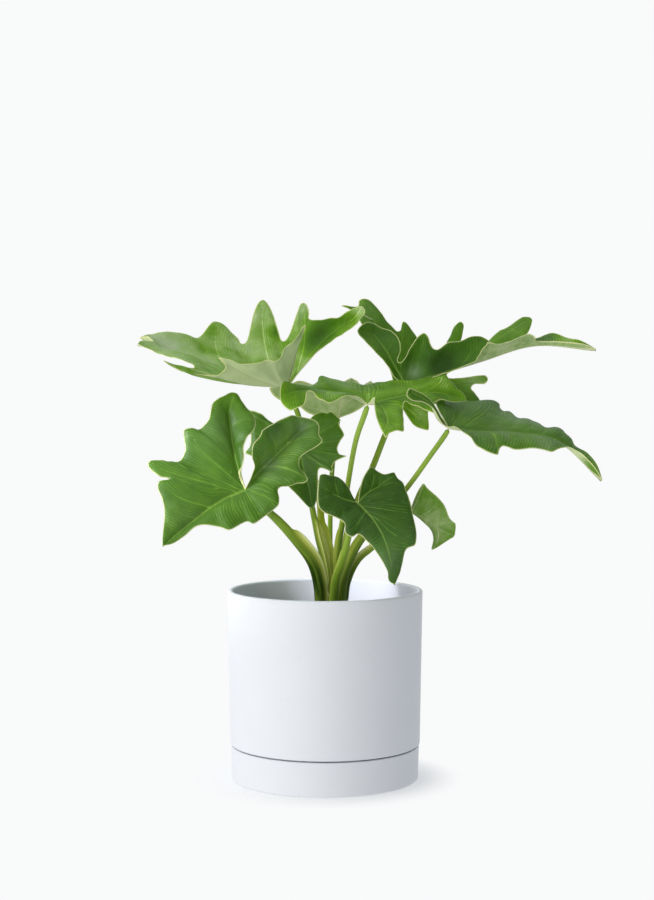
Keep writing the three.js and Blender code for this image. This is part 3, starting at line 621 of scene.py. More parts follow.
def smoothCurve(points, sharpness, stepLength=None, spanSteps=24):
    # samples of a smooth curve: the span each is on, how far along it, and its place, with
    # spanSteps samples on each span where no stepLength is given
    points = np.asarray(points, dtype=float)
    directions = unit(np.vstack([points[1:], points[-1:]]) - np.vstack([points[:1], points[:-1]]))
    spans, alongs, places = [], [], []
    for i in range(len(points) - 1):
        length = np.linalg.norm(points[i + 1] - points[i])
        pullStart = directions[i] * length * (1 - sharpness[i])
        pullEnd = directions[i + 1] * length * (1 - sharpness[i + 1])
        steps = max(1, math.ceil(length / stepLength)) if stepLength else spanSteps
        t = (np.arange(steps) / steps)[:, None]
        curve = (2 * t**3 - 3 * t**2 + 1) * points[i] + (t**3 - 2 * t**2 + t) * pullStart
        curve += (3 * t**2 - 2 * t**3) * points[i + 1] + (t**3 - t**2) * pullEnd
        spans += [i] * steps
        alongs += t[:, 0].tolist()
        places.append(curve)
    spans.append(len(points) - 1)
    alongs.append(0)
    return np.array(spans), np.array(alongs), np.vstack([*places, points[-1:]])


def lengthsAlong(points):
    return np.concatenate([[0], np.cumsum(np.linalg.norm(np.diff(points, axis=0), axis=1))])


class Rib:
    # a smooth line from the base that gives the place at a share of its length
    def __init__(self, points, stepLength):
        points = [(0, 0, 0), *points]
        self.points = smoothCurve(points, [0] * len(points))[2]
        lengths = lengthsAlong(self.points)
        self.shares = lengths / lengths[-1]
        self.steps = int(lengths[-1] / stepLength)

    def at(self, share):
        share = np.clip(share, 0, 1)
        return np.stack([np.interp(share, self.shares, self.points[:, k]) for k in range(3)], -1)


class BladePoints:
    # a blade's points in order. edge is a point's distance from the margin, ray its vein's place
    # along the margin, reach its distance from the rib, and fan how far the veins have spread
    # there, from 0 where they start to 1 at the margin.
    def __init__(self):
        self.parts = {label: [] for label in ("points", "edge", "ray", "reach", "fan")}
        self.count = 0

    def add(self, points, edge=farAway, ray=0, reach=0, fan=0):
        # takes more points and gives back their numbers. Those of ribs keep the usual values.
        self.parts["points"].append(points)
        for label, value in (("edge", edge), ("ray", ray), ("reach", reach), ("fan", fan)):
            self.parts[label].append(np.broadcast_to(value, len(points)))
        self.count += len(points)
        return np.arange(self.count - len(points), self.count)

    def joined(self):
        return {label: np.concatenate(parts) for label, parts in self.parts.items()}


def marginOf(leaf, side, plan):
    # the margin of one half from tip to base, with a path value that tells which point of the
    # ribs feeds it: 0 at the tip, 1 at the base, 2 at a hind rib's end and 3 at the base again
    table = leaf["margins"][side]
    hasHind = leaf["hindRibs"][side] is not None
    tip = leaf["tip"]
    points = [tip[:3]] + [row[1:4] for row in table] + [(0, 0, 0)]
    reaches = [1] + [row[0] for row in table] + [0]
    sharpness = [tip[3] if len(tip) > 3 else 0]
    sharpness += [row[4] if len(row) > 4 else 0 for row in table] + [plan["baseSharpness"]]
    paths, pastRibEnd = [], False
    for reach in reaches:
        returning = hasHind and pastRibEnd and reach > min(reaches)
        pastRibEnd = pastRibEnd or reach == min(reaches)
        paths.append(3 + reach if returning else 1 - reach)
    spans, alongs, places = smoothCurve(points, sharpness, plan["marginStep"])
    paths = np.array(paths)
    following = paths[np.minimum(spans + 1, len(paths) - 1)]
    return places, paths[spans] + (following - paths[spans]) * alongs


def upperSide(margins):
    # the direction that the whole blade's upper side looks in
    loop = np.vstack([margins[0], margins[1][-2::-1]])
    return unit(np.cross(loop[:-1], loop[1:]).sum(axis=0))


def sideVeins(rays, lengths, spacing, plan):
    # the columns that carry a side vein and its strength: one to each lobe's furthest point,
    # and weaker ones between where lobes are broad
    last, window = len(rays) - 1, plan["lobeWindow"]
    peaks = []
    for i in range(2, last - 1):
        around = rays[max(0, i - window):i + window + 1]
        if rays[i] < max(around) or rays[i] < plan["lobeReach"]:
            continue
        depths = []
        for beside in (rays[:i][::-1], rays[i + 1:]):
            higher = np.nonzero(beside > rays[i])[0]
            stretch = beside[:higher[0]] if len(higher) else beside
            depths.append(rays[i] - stretch.min() if len(stretch) else 0)
        isNew = not peaks or i - peaks[-1] > plan["lobeGap"]
        if isNew and min(depths) > plan["lobeProminence"]:
            peaks.append(i)
    chosen = [(column, 1) for column in peaks]
    for start, end in zip([0] + peaks, peaks + [last]):
        gap = lengths[end] - lengths[start]
        extra = int(gap / spacing)
        for k in range(1, extra):
            column = int(np.searchsorted(lengths, lengths[start] + gap * k / extra))
            if rays[column] > plan["broadReach"]:
                chosen.append((column, plan["betweenStrength"]))
    return chosen


def veinLines(grid, t, reach, lengths, bow, spacing, plan):
    # the side veins of one half, each as its places from rib to margin and its half widths
    veins, rows = [], np.arange(len(t))
    for start, strength in sideVeins(reach, lengths, spacing, plan):
        narrow = min(1, plan["shortVein"] + reach[start] / plan["veinGain"]) * strength
        widths = np.interp(t[:, start], (0, 1), plan["sideWidth"]) * narrow
        along = np.clip(lengths[start] + bow[:, start], 0, lengths[-1])
        column = np.interp(along, lengths, np.arange(len(lengths)))
        low = np.minimum(column.astype(int), len(lengths) - 2)
        part = (column - low)[:, None]
        veins.append((grid[rows, low] * (1 - part) + grid[rows, low + 1] * part, widths))
    return veins


def nearestVein(points, line, widths, best, bare):
    # lowers best, the distance to a vein in its own half widths, and bare, in mm
    for start, end, first, second in zip(line[:-1], line[1:], widths[:-1], widths[1:]):
        run = end - start
        square = run @ run
        if square < 1e-9:
            continue
        t = np.clip((points - start) @ run / square, 0, 1)
        gap = np.linalg.norm(points - start - t[:, None] * run, axis=1)
        np.minimum(best, gap / (first + (second - first) * t), out=best)
        np.minimum(bare, gap, out=bare)


def rimDistance(grid, margin, window=10):
    # how far each point of a half's grid lies from the margin, in mm, near its own column
    best = np.full(grid.shape[:2], farAway)
    columns = np.arange(len(margin))
    for shift in range(-window, window):
        a = margin[np.clip(columns + shift, 0, len(margin) - 1)]
        b = margin[np.clip(columns + shift + 1, 0, len(margin) - 1)]
        run = b - a
        square = np.maximum((run * run).sum(axis=1), 1e-9)
        t = np.clip(((grid - a) * run).sum(axis=2) / square, 0, 1)
        np.minimum(best, np.linalg.norm(grid - a - t[:, :, None] * run, axis=2), out=best)
    return best


def halfGrid(margin, starts, bulge, up, plan):
    # rows of points from the ribs to the margin, the share of that way at each, and each
    # column's length. 4 * t * (1 - t) is an arch from 0 over 1 back to 0.
    reach = np.linalg.norm(margin - starts, axis=1)
    inner = np.clip(1 - plan["edgeRow"] / np.maximum(reach, 1e-6), 0.5, 1)
    rows = plan["rows"]
    between = [inner * r / (rows - 1) for r in range(1, rows)]
    t = np.vstack([np.zeros_like(inner), *between, np.ones_like(inner)])
    swell = bulge * np.minimum(1, reach / plan["bulgeReach"])
    grid = starts + (margin - starts) * t[:, :, None]
    return grid + up * (swell * 4 * t * (1 - t))[:, :, None], t, reach


def zipped(row, paths, line):
    # triangles between the first row of a half and its ribs, whose line holds the number and
    # the path value of each point
    faces, i, j = [], 0, 0
    while i < len(row) - 1 or j < len(line) - 1:
        rowNext = paths[i] + paths[i + 1] if i < len(row) - 1 else math.inf
        lineNext = line[j][1] + line[j + 1][1] if j < len(line) - 1 else math.inf
        if rowNext <= lineNext:
            face = (row[i], row[i + 1], line[j][0])
            i += 1
        else:
            face = (row[i], line[j + 1][0], line[j][0])
            j += 1
        if len(set(face)) == 3:
            faces.append(face)
    return faces


def halfFaces(numbers, paths, line):
    faces = zipped(numbers[0], paths, line)
    for near, far in zip(numbers[:-1], numbers[1:]):
        for corners in ((far[:-1], far[1:], near[1:]), (far[:-1], near[1:], near[:-1])):
            faces += [face for face in zip(*corners) if len(set(face)) == 3]
    return np.array(faces)


def bladeSurface(leaf, plan):
    # the blade's middle surface, its rim in order, and how far each point lies from the margin,
    # the ribs and the veins
    sides = [marginOf(leaf, side, plan) for side in (0, 1)]
    up = upperSide([margin for margin, _ in sides])
    midrib = Rib([*leaf["midrib"], leaf["tip"][:3]], plan["ribStep"])
    shares = np.linspace(1, 0, midrib.steps + 1)
    cloud = BladePoints()
    spine = list(zip(cloud.add(midrib.at(shares)), 1 - shares))
    tip, base = spine[0][0], spine[-1][0]
    ribs = [(midrib.at(shares), np.interp(shares, (0, 1), plan["midribWidth"]))]
    veins, faces, rims = [], [], []
    for side, (margin, paths) in enumerate(sides):
        starts, line = midrib.at(1 - paths), list(spine)
        if leaf["hindRibs"][side] is not None:
            hind = Rib(leaf["hindRibs"][side], plan["ribStep"])
            out = np.arange(1, hind.steps + 1) / hind.steps
            outward = list(zip(cloud.add(hind.at(out)), 1 + out))
            # the line goes out along the hind rib and comes back on its other side
            line += outward + [(n, 4 - p) for n, p in outward[-2::-1]] + [(base, 3)]
            onHind = paths > 1
            starts[onHind] = hind.at(np.minimum(paths - 1, 3 - paths))[onHind]
            out = np.linspace(0, 1, hind.steps + 1)
            ribs.append((hind.at(out), np.interp(out, (0, 1), plan["hindWidth"])))
        grid, t, reach = halfGrid(margin, starts, leaf["bulge"][side], up, plan)
        lengths = lengthsAlong(margin)
        bow = np.interp(paths, plan["bowPaths"], plan["bowSides"]) * plan["veinBend"]
        bow = bow * reach * 4 * t * (1 - t)
        veins += veinLines(grid, t, reach, lengths, bow, leaf["veinSpacing"], plan)
        # the ribs' own row and the ends of every other row are there already
        gaps = np.linalg.norm(np.diff(grid, axis=1), axis=2) / np.maximum(np.diff(lengths), 1e-6)
        numbers = cloud.add(
            grid[1:, 1:-1].reshape(-1, 3),
            edge=rimDistance(grid, margin)[1:, 1:-1].ravel(),
            ray=(lengths - bow)[1:, 1:-1].ravel(),
            reach=(t * reach)[1:, 1:-1].ravel(),
            fan=((gaps[:, 1:] + gaps[:, :-1]) / 2)[1:].ravel(),
        ).reshape(len(t) - 1, -1)
        tips, bases = (np.full((len(numbers), 1), end) for end in (tip, base))
        numbers = np.hstack([tips, numbers, bases])
        half = halfFaces(numbers, paths, line)
        faces.append(half if side == 0 else half[:, ::-1])
        rims.append(numbers[-1])
    surface = cloud.joined()
    surface["faces"] = np.vstack(faces)
    surface["rim"] = np.concatenate([rims[0], rims[1][-2:0:-1]])
    surface["up"] = up
    for label, lines in (("rib", ribs), ("vein", veins)):
        scaled, gap = (np.full(cloud.count, farAway) for _ in range(2))
        for line, widths in lines:
            nearestVein(surface["points"], line, widths, scaled, gap)
        surface[label], surface[label + "Gap"] = scaled, gap
    return surface


def vertexNormals(points, faces, smoothing=4):
    normals = np.zeros_like(points)
    a, b, c = (points[faces[:, k]] for k in range(3))
    areas = np.cross(b - a, c - a)
    for k in range(3):
        np.add.at(normals, faces[:, k], areas)
    normals = unit(normals)
    for _ in range(smoothing):
        around = normals[faces].sum(axis=1)
        spread = np.zeros_like(points)
        for k in range(3):
            np.add.at(spread, faces[:, k], around)
        normals = unit(spread)
    return normals


def shapedPoints(surface, plan, seed):
    # the middle surface swollen between its veins, raised from its ribs and waved at its margin
    points, edge, ribGap = surface["points"], surface["edge"], surface["ribGap"]
    gap = np.minimum(surface["veinGap"], ribGap)
    puff = 1 - np.exp(-(gap / plan["puffReach"]) ** 2)
    flutter = ripple(points, plan["flutterSize"], seed) * np.exp(-edge / plan["flutterReach"])
    flutter *= np.minimum(1, surface["reach"] / plan["baseCalm"])
    keel = plan["keel"] * plan["keelReach"] * (0.5 - np.exp(-ribGap / plan["keelReach"]))
    keel *= np.minimum(1, np.linalg.norm(points, axis=1) / plan["baseCalm"])
    calm = np.minimum(1, edge / plan["edgeCalm"])
    lift = (plan["puff"] * puff + keel) * calm + plan["flutter"] * flutter
    return points + vertexNormals(points, surface["faces"]) * lift[:, None]


def ridgeHeight(scaled, gap, usual, plan):
    # how far a vein stands out at each point, with its own half width as the measure
    onVein = scaled < 0.05
    width = np.where(onVein, usual, gap / np.maximum(scaled, 1e-3))
    return np.exp(-(scaled / plan["ridgeReach"]) ** 2) * np.clip(width, *plan["ridgeLimits"])


def bladeShell(surface, points, plan):
    # points and faces of the upper side, the lower side and the round rim between them
    faces, rim, edge = surface["faces"], surface["rim"], surface["edge"]
    normals = vertexNormals(points, faces)
    half = np.interp(edge, (0, plan["edgeWidth"]), (plan["edgeThickness"], plan["thickness"])) / 2
    ridge = np.maximum(
        ridgeHeight(surface["rib"], surface["ribGap"], plan["usualRib"], plan),
        ridgeHeight(surface["vein"], surface["veinGap"], plan["usualVein"], plan),
    )
    upper = points + normals * (half - plan["veinSink"] * ridge)[:, None]
    lower = points - normals * (half + plan["ribRise"] * ridge)[:, None]
    alongRim = np.roll(points[rim], -1, axis=0) - np.roll(points[rim], 1, axis=0)
    outward = unit(np.cross(alongRim, normals[rim]))
    middle = points[rim] + outward * (half[rim] * plan["rimRound"])[:, None]
    count = len(points)
    mids = 2 * count + np.arange(len(rim))
    nextRim, nextMids = np.roll(rim, -1), np.roll(mids, -1)
    topRim = np.column_stack([rim, mids, nextMids, nextRim])
    lowRim = np.column_stack([mids, rim + count, nextRim + count, nextMids])
    parts = (faces, topRim, faces[:, ::-1] + count, lowRim)
    return np.vstack([upper, lower, middle]), [face for part in parts for face in part.tolist()]


def toneOf(start, spots, points):
    # a leaf's own tone, changed by its deeper and paler spots, which are partly its own tone and partly
    # painted shade and painted sheen
    tone = np.full(len(points), float(start))
    for x, y, z, radius, change in spots:
        distance = np.linalg.norm(points - (x, y, z), axis=1)
        tone += change * np.exp(-(distance / radius) ** 2)
    return tone


def bladeValues(leaf, surface, points, plan):
    # what the shaders read at each point of the upper side, the lower side and the rim
    rim = surface["rim"]
    fromBase = np.linalg.norm(points, axis=1)
    fromTip = np.linalg.norm(points - np.array(leaf["tip"][:3]), axis=1)
    # the pale margin is narrower where the blade runs out into its tip
    narrowing = np.clip(fromTip / plan["tipReach"], plan["tipShare"], 1)
    shown = {label: surface[label] for label in ("edge", "ray", "reach", "fan", "rib", "vein")}
    shown["edge"] = surface["edge"] / narrowing
    shown["foot"] = np.exp(-(fromBase / plan["footReach"]) ** 2) * leaf["brown"]
    values = {label: np.concatenate([v, v, v[rim]]) for label, v in shown.items()}
    tone = toneOf(leaf["tone"], leaf["spots"], points)
    underTone = toneOf(leaf["underTone"], leaf["underSpots"], points)
    values["tone"] = np.concatenate([tone, underTone, tone[rim]])
    # painted sheen, on the upper side only
    bloom = toneOf(0, leaf["paintedSheens"], points)
    values["bloom"] = np.concatenate([bloom, bloom * 0, bloom[rim]])
    return values


bladeFinish = {
    "tones": [  # leaf colours from deep green darkened into painted shade, through fresh green, to a pale that paints sheen
        (0.00, (0.010, 0.038, 0.003)),
        (0.30, (0.030, 0.105, 0.005)),
        (0.55, (0.075, 0.205, 0.010)),
        (0.80, (0.160, 0.360, 0.020)),
        (1.00, (0.360, 0.570, 0.150)),
        (1.50, (0.780, 0.850, 0.620)),
    ],
    "cloudSize": 24,
    "mottleSize": 3.5,
    "cellSize": 0.5,
    "waveSize": 11,
    "vein": (0.25, 0.40, 0.060),
    "veinTint": (1.3, 1.0, 1.7),
    "veinFade": (0.6, 2.0),  # in half widths of the vein, as the next ones
    "ribFade": (0.6, 1.6),
    "ribGlow": (0.8, 4.5),
    "bloom": (0.34, 0.43, 0.30),  # painted sheen: a greyish highlight where the glossy leaf would reflect light
    "margin": (0.93, 0.94, 0.46),
    "marginFade": (0.3, 0.72),  # mm
    "fleck": (0.66, 0.68, 0.38),
    "fleckSize": 2.4,
    "fleckFade": (0.80, 0.84),
    "roughness": 0.38,
    "relief": 0.22,
    "through": (0.42, 0.62, 0.03),
    "throughShare": 0.33,
    "fineSpacing": 5.0,
    "fineFade": (0.12, 0.62),  # mm from the middle of a fine vein
    "fineExtra": (0.38, 0.6),  # how far they spread before there are twice as many
    "fineCrowd": (0.12, 0.3),  # and how close they come before they fade
    "fineStart": (1, 8),  # mm from the rib
    "fineDrift": 9,
    "finePatch": 6,
}

underFinish = {
    "leaf": (0.70, 0.80, 0.45),
    "deep": (0.14, 0.30, 0.03),
    "cloudSize": 16,
    "mottleSize": 4,
    "cellSize": 0.45,
    "vein": (0.68, 0.70, 0.42),
    "veinFade": (0.8, 1.8),
    "ribFade": (0.9, 1.8),
    "ribFoot": (0.44, 0.25, 0.07),  # brown at the foot of the ribs
    "marginFade": (0.66, 1.43),
    "shine": 0.25,
    "roughness": 0.55,
    "relief": 0.2,
    "throughShare": 0.22,
}


def fineVeins(sheet, at, finish):
    # thin lines that run with the side veins, twice as many where they have spread apart
    spacing = finish["fineSpacing"]
    ray, fan = attribute(sheet, "ray"), attribute(sheet, "fan")
    count = ray / spacing + noise(sheet, at, finish["fineDrift"], 2) * 0.5
    lines = []
    for shift in (0, 0.5):
        wave = sheet.node("ShaderNodeMath", {"operation": "PINGPONG"}, {0: count + shift, 1: 0.5})
        lines.append(1 - step(wave * spacing * fan, *finish["fineFade"]))
    between = step(fan, *finish["fineExtra"])
    patches = 0.45 + noise(sheet, at, finish["finePatch"], 2)
    line = (lines[0] + lines[1] * between) * patches
    started = step(attribute(sheet, "reach"), *finish["fineStart"])
    return line * started * step(fan, *finish["fineCrowd"])


def finishBlade(sheet, surface, onRib, share, finish):
    # lets some light through the blade, and less through its ribs
    through = sheet.node("ShaderNodeBsdfTranslucent", None, {"Color": (*finish["through"], 1)})
    amount = share * (1 - onRib * 0.4)
    mixed = sheet.node("ShaderNodeMixShader", None, {0: amount, 1: surface, 2: through})
    finishMaterial(sheet, mixed)


def upperMaterial(leaf, finish):
    material, sheet = newMaterial(leaf["name"] + "_upper")
    at = place(sheet)
    rib, vein, edge = (attribute(sheet, label) for label in ("rib", "vein", "edge"))
    clouds = noise(sheet, at, finish["cloudSize"], 3, 0.55)
    mottle = noise(sheet, at, finish["mottleSize"], 3, 0.6)
    cells = noise(sheet, at, finish["cellSize"], 2)
    lines = fineVeins(sheet, at, finish) * leaf["fine"]
    # the tone attribute carries the spots, with their painted shade and painted sheen
    tone = attribute(sheet, "tone") + (clouds - 0.5) * leaf["clouds"] + (mottle - 0.5) * 0.16
    palest = finish["tones"][-1][0]
    stops = [(level / palest, shade) for level, shade in finish["tones"]]
    colour = sheet.node("ShaderNodeValToRGB", {"stops": stops}, {"Fac": tone / palest})
    colour = lighten(sheet, lines, colour, 2.0, finish["veinTint"])
    onSide = (1 - step(vein, *finish["veinFade"])) * leaf["sideShare"]
    colour = lighten(sheet, onSide, colour, 2.4, finish["veinTint"])
    besideRib = (1 - step(rib, *finish["ribGlow"])) * 0.35
    colour = lighten(sheet, besideRib, colour, 1.6, finish["veinTint"])
    # painted sheen, mottled
    bloom = attribute(sheet, "bloom") * (0.6 + mottle * 0.8)
    colour = blend(sheet, bloom, colour, finish["bloom"])
    onRib = 1 - step(rib, *finish["ribFade"])
    colour = lighten(sheet, onRib, colour, 1.5)
    colour = blend(sheet, onRib * 0.5, colour, finish["vein"])
    onEdge = 1 - step(edge, *finish["marginFade"])
    colour = blend(sheet, onEdge * 0.8, colour, finish["margin"])
    flecks = step(noise(sheet, at, finish["fleckSize"], 1), *finish["fleckFade"])
    colour = blend(sheet, flecks * 0.6, colour, finish["fleck"])
    waves = noise(sheet, at, finish["waveSize"], 1)
    height = mottle * 0.5 + cells * 0.06 - lines * 0.5 - onRib * 0.5 + waves * 4
    roughness = finish["roughness"] + mottle * 0.14
    relief = bump(sheet, height, finish["relief"])
    surface = coat(sheet, colour, roughness, relief, leaf["shine"])
    finishBlade(sheet, surface, onRib, finish["throughShare"], finish)
    return material


def underMaterial(leaf, finish, under):
    material, sheet = newMaterial(leaf["name"] + "_under")
    at = place(sheet)
    rib, vein, edge = (attribute(sheet, label) for label in ("rib", "vein", "edge"))
    mottle = noise(sheet, at, under["mottleSize"], 3, 0.6)
    cells = noise(sheet, at, under["cellSize"], 2)
    lines = fineVeins(sheet, at, finish)
    clouds = noise(sheet, at, under["cloudSize"], 2)
    # the tone attribute carries the spots, with their painted shade and painted sheen
    tone = attribute(sheet, "tone") + (mottle - 0.5) * 0.4 + (clouds - 0.5) * 0.7
    colour = blend(sheet, step(tone, 0, 1), under["deep"], under["leaf"])
    colour = lighten(sheet, lines * leaf["fine"], colour, 0.82)
    colour = blend(sheet, (1 - step(vein, *under["veinFade"])) * 0.5, colour, under["vein"])
    onRib = 1 - step(rib, *under["ribFade"])
    ribColour = blend(sheet, attribute(sheet, "foot"), under["vein"], under["ribFoot"])
    colour = blend(sheet, onRib * (0.15 + 0.75 * leaf["underRim"]), colour, ribColour)
    onEdge = 1 - step(edge, *under["marginFade"])
    colour = blend(sheet, onEdge * leaf["underRim"], colour, finish["margin"])
    roughness = under["roughness"] + mottle * 0.1
    relief = bump(sheet, cells * 0.1 + lines * 0.4 + mottle * 0.4, under["relief"])
    surface = coat(sheet, colour, roughness, relief, under["shine"])
    finishBlade(sheet, surface, onRib, under["throughShare"], finish)
    return material


def makeBlade(leaf, plan, number):
    # makes the blade and gives back the direction that its upper side looks in
    surface = bladeSurface(leaf, plan)
    points = shapedPoints(surface, plan, number)
    places, faces = bladeShell(surface, points, plan)
    kinds = [0] * (len(faces) // 2) + [1] * (len(faces) // 2)
    values = bladeValues(leaf, surface, points, plan)
    name = leaf["name"]
    materials = [upperMaterial(leaf, bladeFinish), underMaterial(leaf, bladeFinish, underFinish)]
    places = places + np.array(leaf["base"])
    piece = newPiece(name + "_fine_blade", places, faces, materials, kinds, values)
    fit(piece, name + "_blade")
    return surface["up"]


stalkPlan = {
    "ringStep": 1.6,
    "root": 122.5,  # height in the crown where the stalks start
    "sink": 0.9,  # how far under its blade a stalk ends
    "channel": 0.18,  # depth of the groove on the inner side, in radii
    "channelWidth": 0.4,
    "lookUp": 60,  # the inner side looks at the crown's axis, this far higher up
    "swell": 1.05,
    "wingAngle": 0.75,  # the sheath's two edges stand at this angle from the groove, in radians
    "wingWidth": 0.16,
    "wingGrowth": (0.55, 0.45),  # height of the edges at the foot, and what they gain above it
    "wingRadius": 2,  # thinner stalks have lower edges
    "wingAngles": (-0.3, -0.2, -0.12, -0.06, 0, 0.06, 0.12, 0.2, 0.3),  # extra points round them
    "leastAngle": 0.035,
    "sides": 36,
    "shoulder": 0.10,  # how fast a sheath ends, as a share of the stalk
    "endRadius": 1.75,
    "capLength": 1.3,
    "grainShift": 9,  # keeps the streaks of two stalks apart
    "grainStretch": 0.09,
}

stalkFinish = {
    "top": (0.285, 0.440, 0.065),
    "upper": (0.150, 0.260, 0.018),
    # foot is painted shade: the dark green low on a stalk, in among the others
    "foot": (0.009, 0.038, 0.001),
    "pale": (0.34, 0.50, 0.055),
    "dark": (0.040, 0.115, 0.004),
    "warm": (0.385, 0.445, 0.030),
    "inner": (0.58, 0.63, 0.130),
    "sheath": (0.88, 0.93, 0.45),
    "roughness": 0.42,
    "shine": 0.16,
    "relief": 0.12,
    "streakSize": 0.8,
    "streakFade": (0.5, 0.75),
    "bandSize": 3.2,
    "bandFade": (0.4, 0.8),
    "fleckSize": 0.9,
    "fleckFade": (0.66, 0.74),
    "paintedShadeFade": (0.25, 0.7),  # shares of the stalk's length, as the next two
    "topFade": (0.45, 0.85),
    "warmEnd": (0.55, 0.85),
    "warmFade": (0.1, 0.7),  # 0 looks outwards and 1 inwards
    "innerFade": (0.45, 0.95),
    "sheathFade": (0.3, 0.85),
}


def stalkMaterial(finish):
    material, sheet = newMaterial("stalk")
    grain = attribute(sheet, "grain", "Vector")
    streaks = noise(sheet, grain, finish["streakSize"], 3, 0.6)
    bands = noise(sheet, grain, finish["bandSize"], 2)
    flecks = step(noise(sheet, place(sheet), finish["fleckSize"], 2), *finish["fleckFade"])
    rise, sheath, facing, zone, warm, shade, fresh = (attribute(sheet, label) for label in (
        "rise", "sheath", "facing", "zone", "warm", "shade", "fresh"))
    # painted shade at the foot of the stalk, reaching higher on its outer side
    outOfPaintedShade = 1 - (1 - step(rise + facing * 0.3, *finish["paintedShadeFade"])) * shade
    high = step(rise, *finish["topFade"]) * fresh
    colour = blend(sheet, high, finish["upper"], finish["top"])
    colour = blend(sheet, outOfPaintedShade, finish["foot"], colour)
    colour = blend(sheet, step(bands, *finish["bandFade"]) * 0.5, colour, finish["pale"])
    colour = blend(sheet, step(streaks, *finish["streakFade"]) * 0.4, colour, finish["dark"])
    colour = blend(sheet, flecks * 0.25, colour, finish["pale"])
    turned = step(facing, *finish["warmFade"]) * (1 - step(rise, *finish["warmEnd"]))
    colour = blend(sheet, warm * outOfPaintedShade * turned, colour, finish["warm"])
    inside = step(facing, *finish["innerFade"]) * zone * 0.85
    colour = blend(sheet, inside, colour, finish["inner"])
    onSheath = step(sheath, *finish["sheathFade"]) * 0.75
    colour = blend(sheet, onSheath, colour, finish["sheath"])
    roughness = finish["roughness"] + streaks * 0.12
    relief = bump(sheet, streaks, finish["relief"])
    finishMaterial(sheet, coat(sheet, colour, roughness, relief, finish["shine"]))
    return material


def ringAngles(plan):
    # angles round a stalk, closer together at the edges of its sheath
    near, half = np.array(plan["wingAngles"]), plan["sides"] // 2
    angles = np.concatenate([np.arange(-half, half) * math.pi / half,
                             near - plan["wingAngle"], near + plan["wingAngle"]])
    angles = np.unique(np.round(angles, 3))
    return angles[np.concatenate([[True], np.diff(angles) > plan["leastAngle"]])]


def roundEnd(share):
    # height of a quarter circle at a share of its width
    return np.sqrt(1 - (1 - share) ** 2)


def stalkPath(leaf, plan, up):
    # places along the middle of a stalk from its root up, the length up to each and its radius,
    # with a round end under the blade
    x, y, footRadius = leaf["foot"]
    points = [(x, y, plan["root"])] + [row[:3] for row in leaf["petiole"]]
    points.append(np.array(leaf["base"], dtype=float) - up * plan["sink"])
    radii = [footRadius] + [row[3] for row in leaf["petiole"]] + [plan["endRadius"]]
    spans, alongs, path = smoothCurve(points, [0] * len(points), plan["ringStep"])
    radius = np.interp(spans + alongs, range(len(radii)), radii) * plan["swell"]
    lengths = lengthsAlong(path)
    cap = np.clip((lengths[-1] - lengths) / plan["capLength"], 0.02, 1)
    return path, lengths, radius * roundEnd(cap)


def ringDirections(path, angles, plan):
    # directions out of the stalk, the one at angle 0 inwards and up
    forward = unit(np.gradient(path, axis=0))
    inner = np.array([crownPlan["x"], crownPlan["y"], 0]) - path
    inner[:, 2] = plan["lookUp"]
    inner = unit(inner - forward * (inner * forward).sum(axis=1)[:, None])
    across = np.cross(forward, inner)
    return inner[:, None] * np.cos(angles)[:, None] + across[:, None] * np.sin(angles)[:, None]


def tubeFaces(rows, sides):
    faces = []
    for i in range(rows - 1):
        for k in range(sides):
            a, b = i * sides + k, i * sides + (k + 1) % sides
            faces.append((a, b, b + sides, a + sides))
    ends = tuple(range(sides))[::-1], tuple(range((rows - 1) * sides, rows * sides))
    return [*faces, *ends]


def makeStalk(leaf, plan, up, stalk, number):
    path, lengths, radius = stalkPath(leaf, plan, up)
    angles = ringAngles(plan)
    rows, sides = len(path), len(angles)
    radius = radius[:, None]
    share = (lengths / lengths[-1])[:, None]
    sheathEnd, sheathHeight, paleness = leaf["sheath"]
    zone = roundEnd(np.clip((sheathEnd - share) / plan["shoulder"], 0, 1))
    groove = plan["channel"] * np.exp(-(angles / plan["channelWidth"]) ** 2)
    ridge = np.exp(-((np.abs(angles) - plan["wingAngle"]) / plan["wingWidth"]) ** 2)
    low, gain = plan["wingGrowth"]
    wing = sheathHeight * ridge * zone * (low + gain * np.clip(share / sheathEnd, 0, 1))
    size = radius * (1 - groove) + wing * np.minimum(1, radius / plan["wingRadius"])
    places = path[:, None] + ringDirections(path, angles, plan) * size[:, :, None]
    grain = np.stack(np.broadcast_arrays(
        radius * np.cos(angles) + number * plan["grainShift"],
        radius * np.sin(angles),
        lengths[:, None] * plan["grainStretch"],
    ), axis=-1) * mm
    values = {
        "grain": grain.reshape(-1, 3),
        "rise": np.repeat(share[:, 0], sides),
        "sheath": (ridge * zone * paleness).ravel(),
        "facing": np.tile((1 + np.cos(angles)) / 2, rows),
        "zone": np.repeat(zone[:, 0], sides) * (0.3 + 0.7 * paleness),
        "fresh": np.full(rows * sides, leaf["fresh"]),
        "warm": np.full(rows * sides, leaf["warmth"]),
        "shade": np.full(rows * sides, leaf["shade"]),
    }
    name, points = leaf["name"], places.reshape(-1, 3)
    piece = newPiece(name + "_fine_petiole", points, tubeFaces(rows, sides), [stalk], None, values)
    fit(piece, name + "_petiole")


